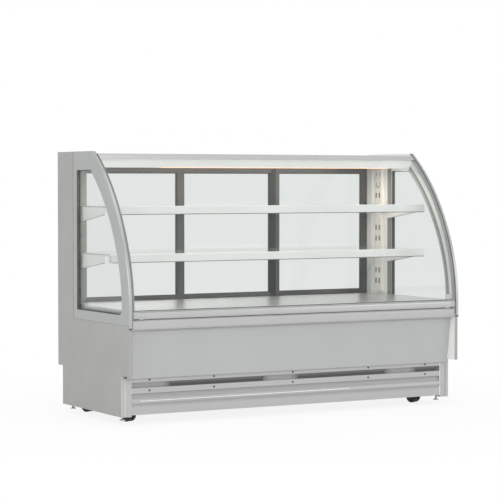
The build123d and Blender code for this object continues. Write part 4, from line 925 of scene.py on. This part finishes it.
def levelling_feet():
    """Threaded rods on their round pads, in place of the plain feet, with a lock nut under the frame."""
    nuts = Shape()
    for corner in ("front_left", "front_right", "rear_left", "rear_right"):
        name = f"levelling_foot_{corner}"
        low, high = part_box(name)
        x, y, _ = middle_of(low, high)
        length = high.z - low.z
        profile = [*FOOT_PAD]
        for i in range(int((length - FOOT_H - THREAD_END) / THREAD_PITCH)):
            level = FOOT_H + THREAD_FOOT + i * THREAD_PITCH
            profile += [(level, FOOT_ROD_R), (level + THREAD_PITCH / 2, FOOT_ROD_R - THREAD_DEEP)]
        profile += [(length - ROD_EDGE, FOOT_ROD_R), (length, FOOT_ROD_R - ROD_EDGE)]
        foot = Shape()
        foot.turned((x, y, low.z), (0, 0, 1), profile, 24)
        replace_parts(foot.piece(f"threaded_foot_{corner}", "foot_zinc", name), name)
        nuts.turned((x, y, FRAME_FOOT_Z - FOOT_NUT_DROP), (0, 0, 1), FOOT_NUT, HEXAGON)
    nuts.piece("foot_nuts", "foot_zinc", "case")


def section_ring(name, side, grow):
    """The outline, as (y, z), of a node's end face on one side, moved outwards by grow."""
    mesh = NODES[name].data
    reach = max(side * vertex.co.x for vertex in mesh.vertices)
    edges = {}
    for face in mesh.polygons:
        if face.normal.x * side > 0.9 and abs(side * face.center.x - reach) < 1e-5:
            places = [tuple(round(value, 6) for value in mesh.vertices[i].co[1:]) for i in face.vertices]
            edges.update(dict.fromkeys(zip(places, places[1:] + places[:1])))
    after = {a: b for a, b in edges if (b, a) not in edges}
    start = max(after, key=lambda place: place[1])
    ring, place = [start], after[start]
    while place != start:
        ring.append(place)
        place = after[place]
    moved = []
    for before, here, beyond in zip(ring[-1:] + ring[:-1], ring, ring[1:] + ring[:1]):
        one = Vector((here[0] - before[0], here[1] - before[1])).normalized()
        two = Vector((beyond[0] - here[0], beyond[1] - here[1])).normalized()
        out = Vector((one.y + two.y, -one.x - two.x)).normalized() * side
        lean = max(0.5, math.sqrt((1 + one.dot(two)) / 2))
        moved.append((here[0] + out.x * grow / lean, here[1] + out.y * grow / lean))
    return moved


def end_caps():
    """Moulded caps over both ends of the ledge and of the glass's bottom rail."""
    for name, node, finish, body, long, over in (
            ("ledge_caps", "front_ledge", "cap_plastic", "case", LEDGE_CAP_L, 0.0),
            ("rail_caps", "glass_bottom_rail", "seal_grey", "front_glass", RAIL_CAP_L, RAIL_CAP_OVER)):
        shape = Shape()
        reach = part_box(node)[1].x
        for side in SIDES:
            plain, proud = section_ring(node, side, 0.0), section_ring(node, side, CAP_PROUD)
            levels = [(reach - long, plain), (reach - long + CAP_PROUD, proud), (reach + over, proud)]
            if over:
                levels.append((reach + over + CAP_PROUD / 2, plain))
            shape.skin([[(side * x, y, z) for y, z in ring] for x, ring in levels])
        shape.piece(name, finish, body, SLOT_OF[node])


def end_seams():
    """The dark joint between each silver frame and the painted end round it."""
    shape = Shape()
    sunk, proud = SEAM_X
    for side in SIDES:
        low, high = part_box("side_frame_left" if side < 0 else "side_frame_right")
        rings = []
        for y, z, over_y, over_z in (
                (COLUMN_Y, high.z - SEAM_TOP_IN, 1, 0), (COLUMN_Y, low.z, 1, -SEAM_FOOT),
                (low.y + SEAM_END_IN, low.z, 0, -SEAM_FOOT)):
            rings.append([(side * x, y + over_y * out * SEAM, z + over_z * out * SEAM)
                          for x, out in ((sunk, 0), (proud, 0), (proud, 1), (sunk, 1))])
        shape.skin(rings)
    shape.piece("end_seams", "seam_filler", "case", "black_rubber")


def glazing_beads():
    """Rubber beads that hold each rear pane in its frame, on both sides of the pane."""
    for name in ("left", "center", "right"):
        low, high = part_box(f"door_glass_{name}")
        middle = middle_of(low, high)
        half_x, half_z = (high.x - low.x) / 2 - GLASS_LAP, (high.z - low.z) / 2 - GLASS_LAP
        shape = Shape()
        for side, y in zip(SIDES, (low.y, high.y)):
            shape.skin([[(middle.x + sx * (half_x - inward * BEAD_W), y + side * rise * BEAD_W,
                          middle.z + sz * (half_z - inward * BEAD_W)) for inward, rise in BEAD_SECTION]
                        for sx, sz in CORNERS], closed=True)
        shape.piece(f"glazing_bead_{name}", "black_rubber", f"door_{name}")


def standard_backs():
    """Dark strips inside the slotted standards, seen through their slots: painted shade standing in for the shadow
    inside them.
    """
    shape = Shape()
    for low, high in boxes("shelf_standards"):
        side = 1 if low.x > 0 else -1
        face_x = min(abs(low.x), abs(high.x))
        low_y, high_y = low.y + BACK_IN_Y, high.y - BACK_IN_Y
        low_z, high_z = low.z + BACK_IN_Z, high.z - BACK_IN_Z
        outline = ((low_y, low_z), (high_y, low_z), (high_y, high_z), (low_y, high_z))
        shape.along_x(outline, [side * (face_x + behind) for behind in BACK_X])
    shape.piece("standard_backs", "black_rubber", "case")


def slot_liners():
    """Dark plastic liners in the standards' slots, but for the highest and those that hold a bracket."""
    shape = Shape()
    held = [(low.z, high.z) for low, high in boxes("shelf_brackets")]
    face_x = min(abs(low.x) for low, _ in boxes("shelf_standards") if low.x > 0)
    reach = SLOT_HALF_Z + LINER_LIP
    lined = [z for z in (SLOT_Z0 + number * SLOT_STEP for number in range(SLOT_COUNT)) if z <= SLOT_LINED_Z]
    free = [z for z in lined if not any(low < z + reach and z - reach < high for low, high in held)]
    for side in SIDES:
        for row in SLOT_ROWS_Y:
            for z in free:
                rings = []
                for grow, behind in LINER_SECTION:
                    x, half_y, half_z = side * (face_x + behind), SLOT_HALF_Y + grow, SLOT_HALF_Z + grow
                    rings.append([(x, row + u * half_y, z + v * half_z) for u, v in LINER_OUTLINE])
                shape.skin(rings, closed=True)
    shape.piece("slot_liners", "screw_black", "case", "black_rubber")


def bracket_edges():
    """A grey bead along the sloping lower edge of every shelf bracket."""
    shape = Shape()
    for side in SIDES:
        for drop in (0.0, SHELF_STEP):
            shape.skin([[(side * (BRACKET_BEAD_X + u), y, z - drop + BRACKET_BEAD_UP + v)
                         for u, v in oval(BRACKET_BEAD_R, 10)] for y, z in BRACKET_EDGE])
    shape.piece("bracket_edges", "band_grey", "case", "white_enamel")


def front_beads():
    """A painted highlight along the kick's rib, painted highlights down the edges of the corner posts, and the
    rail's gasket.
    """
    line, edges, gasket = Shape(), Shape(), Shape()
    line.bead(*((x, KICK_FACE_Y - KICK_LINE_PROUD, KICK_LINE_Z) for x in KICK_LINE_X), KICK_LINE_R)
    line.piece("kick_highlight_line", "inner_white", "case", "front_paint")
    for x, low, high, radius in POST_EDGES:
        edges.bead(*((x, KICK_FACE_Y - POST_EDGE_PROUD, z) for z in (low, high)), radius)
    edges.piece("post_highlights", "inner_white", "case", "front_paint")
    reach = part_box("glass_bottom_rail")[1].x
    gasket.bead((-reach, *RAIL_TOP), (reach, *RAIL_TOP), RAIL_GASKET_R)
    gasket.piece("rail_gasket", "black_rubber", "front_glass")


def front_curve():
    """Points up the outer face of the curved pane, each with its outward direction, as (y, z, ny, nz)."""
    mesh = NODES["front_glass"].data
    found = {}
    for face in mesh.polygons:
        if face.normal.y < -0.25 and abs(face.normal.x) < 0.1:
            for index in face.vertices:
                place = mesh.vertices[index].co
                found.setdefault(round(place.z, 4), []).append((place.y, face.normal.y, face.normal.z))
    points = []
    for z in sorted(found):
        y = min(row[0] for row in found[z])
        out = Vector((sum(row[1] for row in found[z]), sum(row[2] for row in found[z]))).normalized()
        points.append((y, z, out.x, out.y))
    return points


def liner_bands():
    """Bands that follow the curve on the inside of both ends: a grey seal, and a grey band that is partly the
    rebate's own face and partly painted shade.
    """
    lowest, highest = LINER_BAND_Z
    for number, (near, far, finish) in enumerate(LINER_BANDS):
        curve = [(y, z, ny, nz) for y, z, ny, nz in front_curve() if lowest < z and z - nz * far <= highest]
        section = ((near, 0.0), (near + BAND_EDGE, BAND_PROUD), (far - BAND_EDGE, BAND_PROUD), (far, 0.0))
        shape = Shape()
        for side in SIDES:
            shape.skin([[(side * (INNER_X - proud), y - ny * depth, z - nz * depth)
                         for depth, proud in section] for y, z, ny, nz in curve])
        shape.piece(f"liner_band_{number + 1}", finish, "case", "white_liner")


def vent_shade_sheets():
    """Dark sheets behind the air outlets of the kick: painted shade standing in for the shadow inside them."""
    shape = Shape()
    front, back = VENT_SHADE_Y
    low, high = CHANNEL_Z[0] - VENT_SHADE_LAP_Z, CHANNEL_Z[1] + VENT_SHADE_LAP_Z
    outline = ((front, low), (back, low + VENT_SHADE_SLOPE_Z), (back, high - VENT_SHADE_SLOPE_Z), (front, high))
    for start, end in VENTS:
        near, far = start - VENT_SHADE_LAP_X, end + VENT_SHADE_LAP_X
        shape.along_x(outline, (near, near + VENT_SHADE_SLOPE_X, far - VENT_SHADE_SLOPE_X, far))
    shape.piece("vent_shade_sheets", "vent_filter", "case", "fan_black")


def shelf_lips():
    """A thin dark bead under the front of both shelves."""
    shape = Shape()
    for low, high in boxes("shelf_noses"):
        outline = [(low.y + LIP_IN_Y + u, low.z + LIP_UP + v) for u, v in oval((LIP_R, LIP_R), 8)]
        shape.along_x(outline, (low.x + LIP_IN_X, high.x - LIP_IN_X))
    shape.piece("shelf_lips", "strip_rubber", "case", "black_rubber")


def warm_reflection_line():
    """A glowing warm line along the diffuser's lower edge: a painted reflection of warm colours, not lamp light.
    """
    shape = Shape()
    low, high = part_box("lamp_diffuser")
    outline = [(high.y - WARM_LINE_IN + u, low.z - WARM_LINE_DROP + v) for u, v in oval(WARM_LINE_R, 8)]
    shape.along_x(outline, WARM_LINE_X)
    shape.piece("warm_reflection_line", "warm_glow", "case", "lamp_opal")


def details():
    """All pieces that the CAD model leaves to the looks."""
    for make in (
            kick_screws, led_strips, louvre_hoods, rear_screws, switch_bezels, dial_marks, knob_pointer,
            gland_nut, rocker_marks, hub_caps, levelling_feet, end_caps, end_seams, glazing_beads,
            standard_backs, slot_liners, bracket_edges, front_beads, liner_bands, vent_shade_sheets,
            shelf_lips, warm_reflection_line):
        make()


# Studio


def camera():
    """The photograph's viewpoint."""
    data = bpy.data.cameras.new("camera")
    data.sensor_width = SENSOR
    data.lens = PHOTO_FOCUS * SENSOR / PHOTO_WIDTH
    data.clip_end = 100
    view = placed("camera", data)
    view.location = CAMERA_AT
    view.rotation_euler = (math.radians(90 - CAMERA_DOWN), 0, math.radians(-CAMERA_RIGHT))
    bpy.context.scene.camera = view


def panes_left_out():
    """A collection that keeps a lamp's mirror image off the panes."""
    group = bpy.data.collections.new("panes")
    for number, name in enumerate(PANES):
        group.objects.link(NODES[name])
        group.collection_objects[number].light_linking.link_state = "EXCLUDE"
    return group


def area_light(left_out, name, place, target, width, height, power, color=(1, 1, 1)):
    """A soft rectangular lamp that faces target and doesn't show."""
    data = bpy.data.lights.new(name, "AREA")
    data.shape = "RECTANGLE"
    data.size = width
    data.size_y = height
    data.energy = power
    data.color = color
    lamp = placed(name, data)
    lamp.location = place
    lamp.rotation_euler = (Vector(target) - Vector(place)).to_track_quat("-Z", "Y").to_euler()
    lamp.visible_camera = False
    lamp.light_linking.receiver_collection = left_out


def studio():
    """White surroundings, soft light and the lamp under the canopy."""
    world = Nodes("studio", world=True)
    light = world.add("Background", {"Color": WHITE, "Strength": WORLD_LIGHT})
    white = world.add("Background", {"Color": WHITE, "Strength": 1.0})
    bpy.context.scene.world = world.mixed(world.seen_directly(), light, white)
    left_out = panes_left_out()
    for lamp in LAMPS:
        area_light(left_out, *lamp)
    low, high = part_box("lamp_housing")
    y = (low.y + high.y) / 2
    behind, height = DISPLAY_AIM
    area_light(left_out, "display lamp", (0, y, low.z - DISPLAY_DROP), (0, y + behind, height),
               high.x - low.x - 2 * DISPLAY_IN, DISPLAY_W, DISPLAY_POWER, DISPLAY_LIGHT)


def floor():
    """A pale floor that shows as white and keeps the shadow."""
    mesh = bpy.data.meshes.new("floor")
    mesh.from_pydata([(u * FLOOR_HALF, v * FLOOR_HALF, 0) for u, v in CORNERS], [], [(0, 1, 2, 3)])
    plane = placed("floor", mesh)
    plane.location.z = -FLOOR_DROP
    n = Nodes("floor")
    paper = n.add("BsdfDiffuse", {"Color": FLOOR_PAPER})
    glow = n.add("Emission", {"Color": WHITE, "Strength": 1.0})
    away = n.add("VectorMath", {0: n.place()}, operation="LENGTH").outputs["Value"]
    white = n.ramp(away, SHADOW_NEAR, SHADOW_FAR, FLOOR_WHITE, 1.0)
    mesh.materials.append(n.mixed(n.math("MULTIPLY", n.seen_directly(), white), paper, glow))


camera()
studio()
floor()
dress_nodes()
details()

bpy.context.scene.view_settings.view_transform = "Standard"
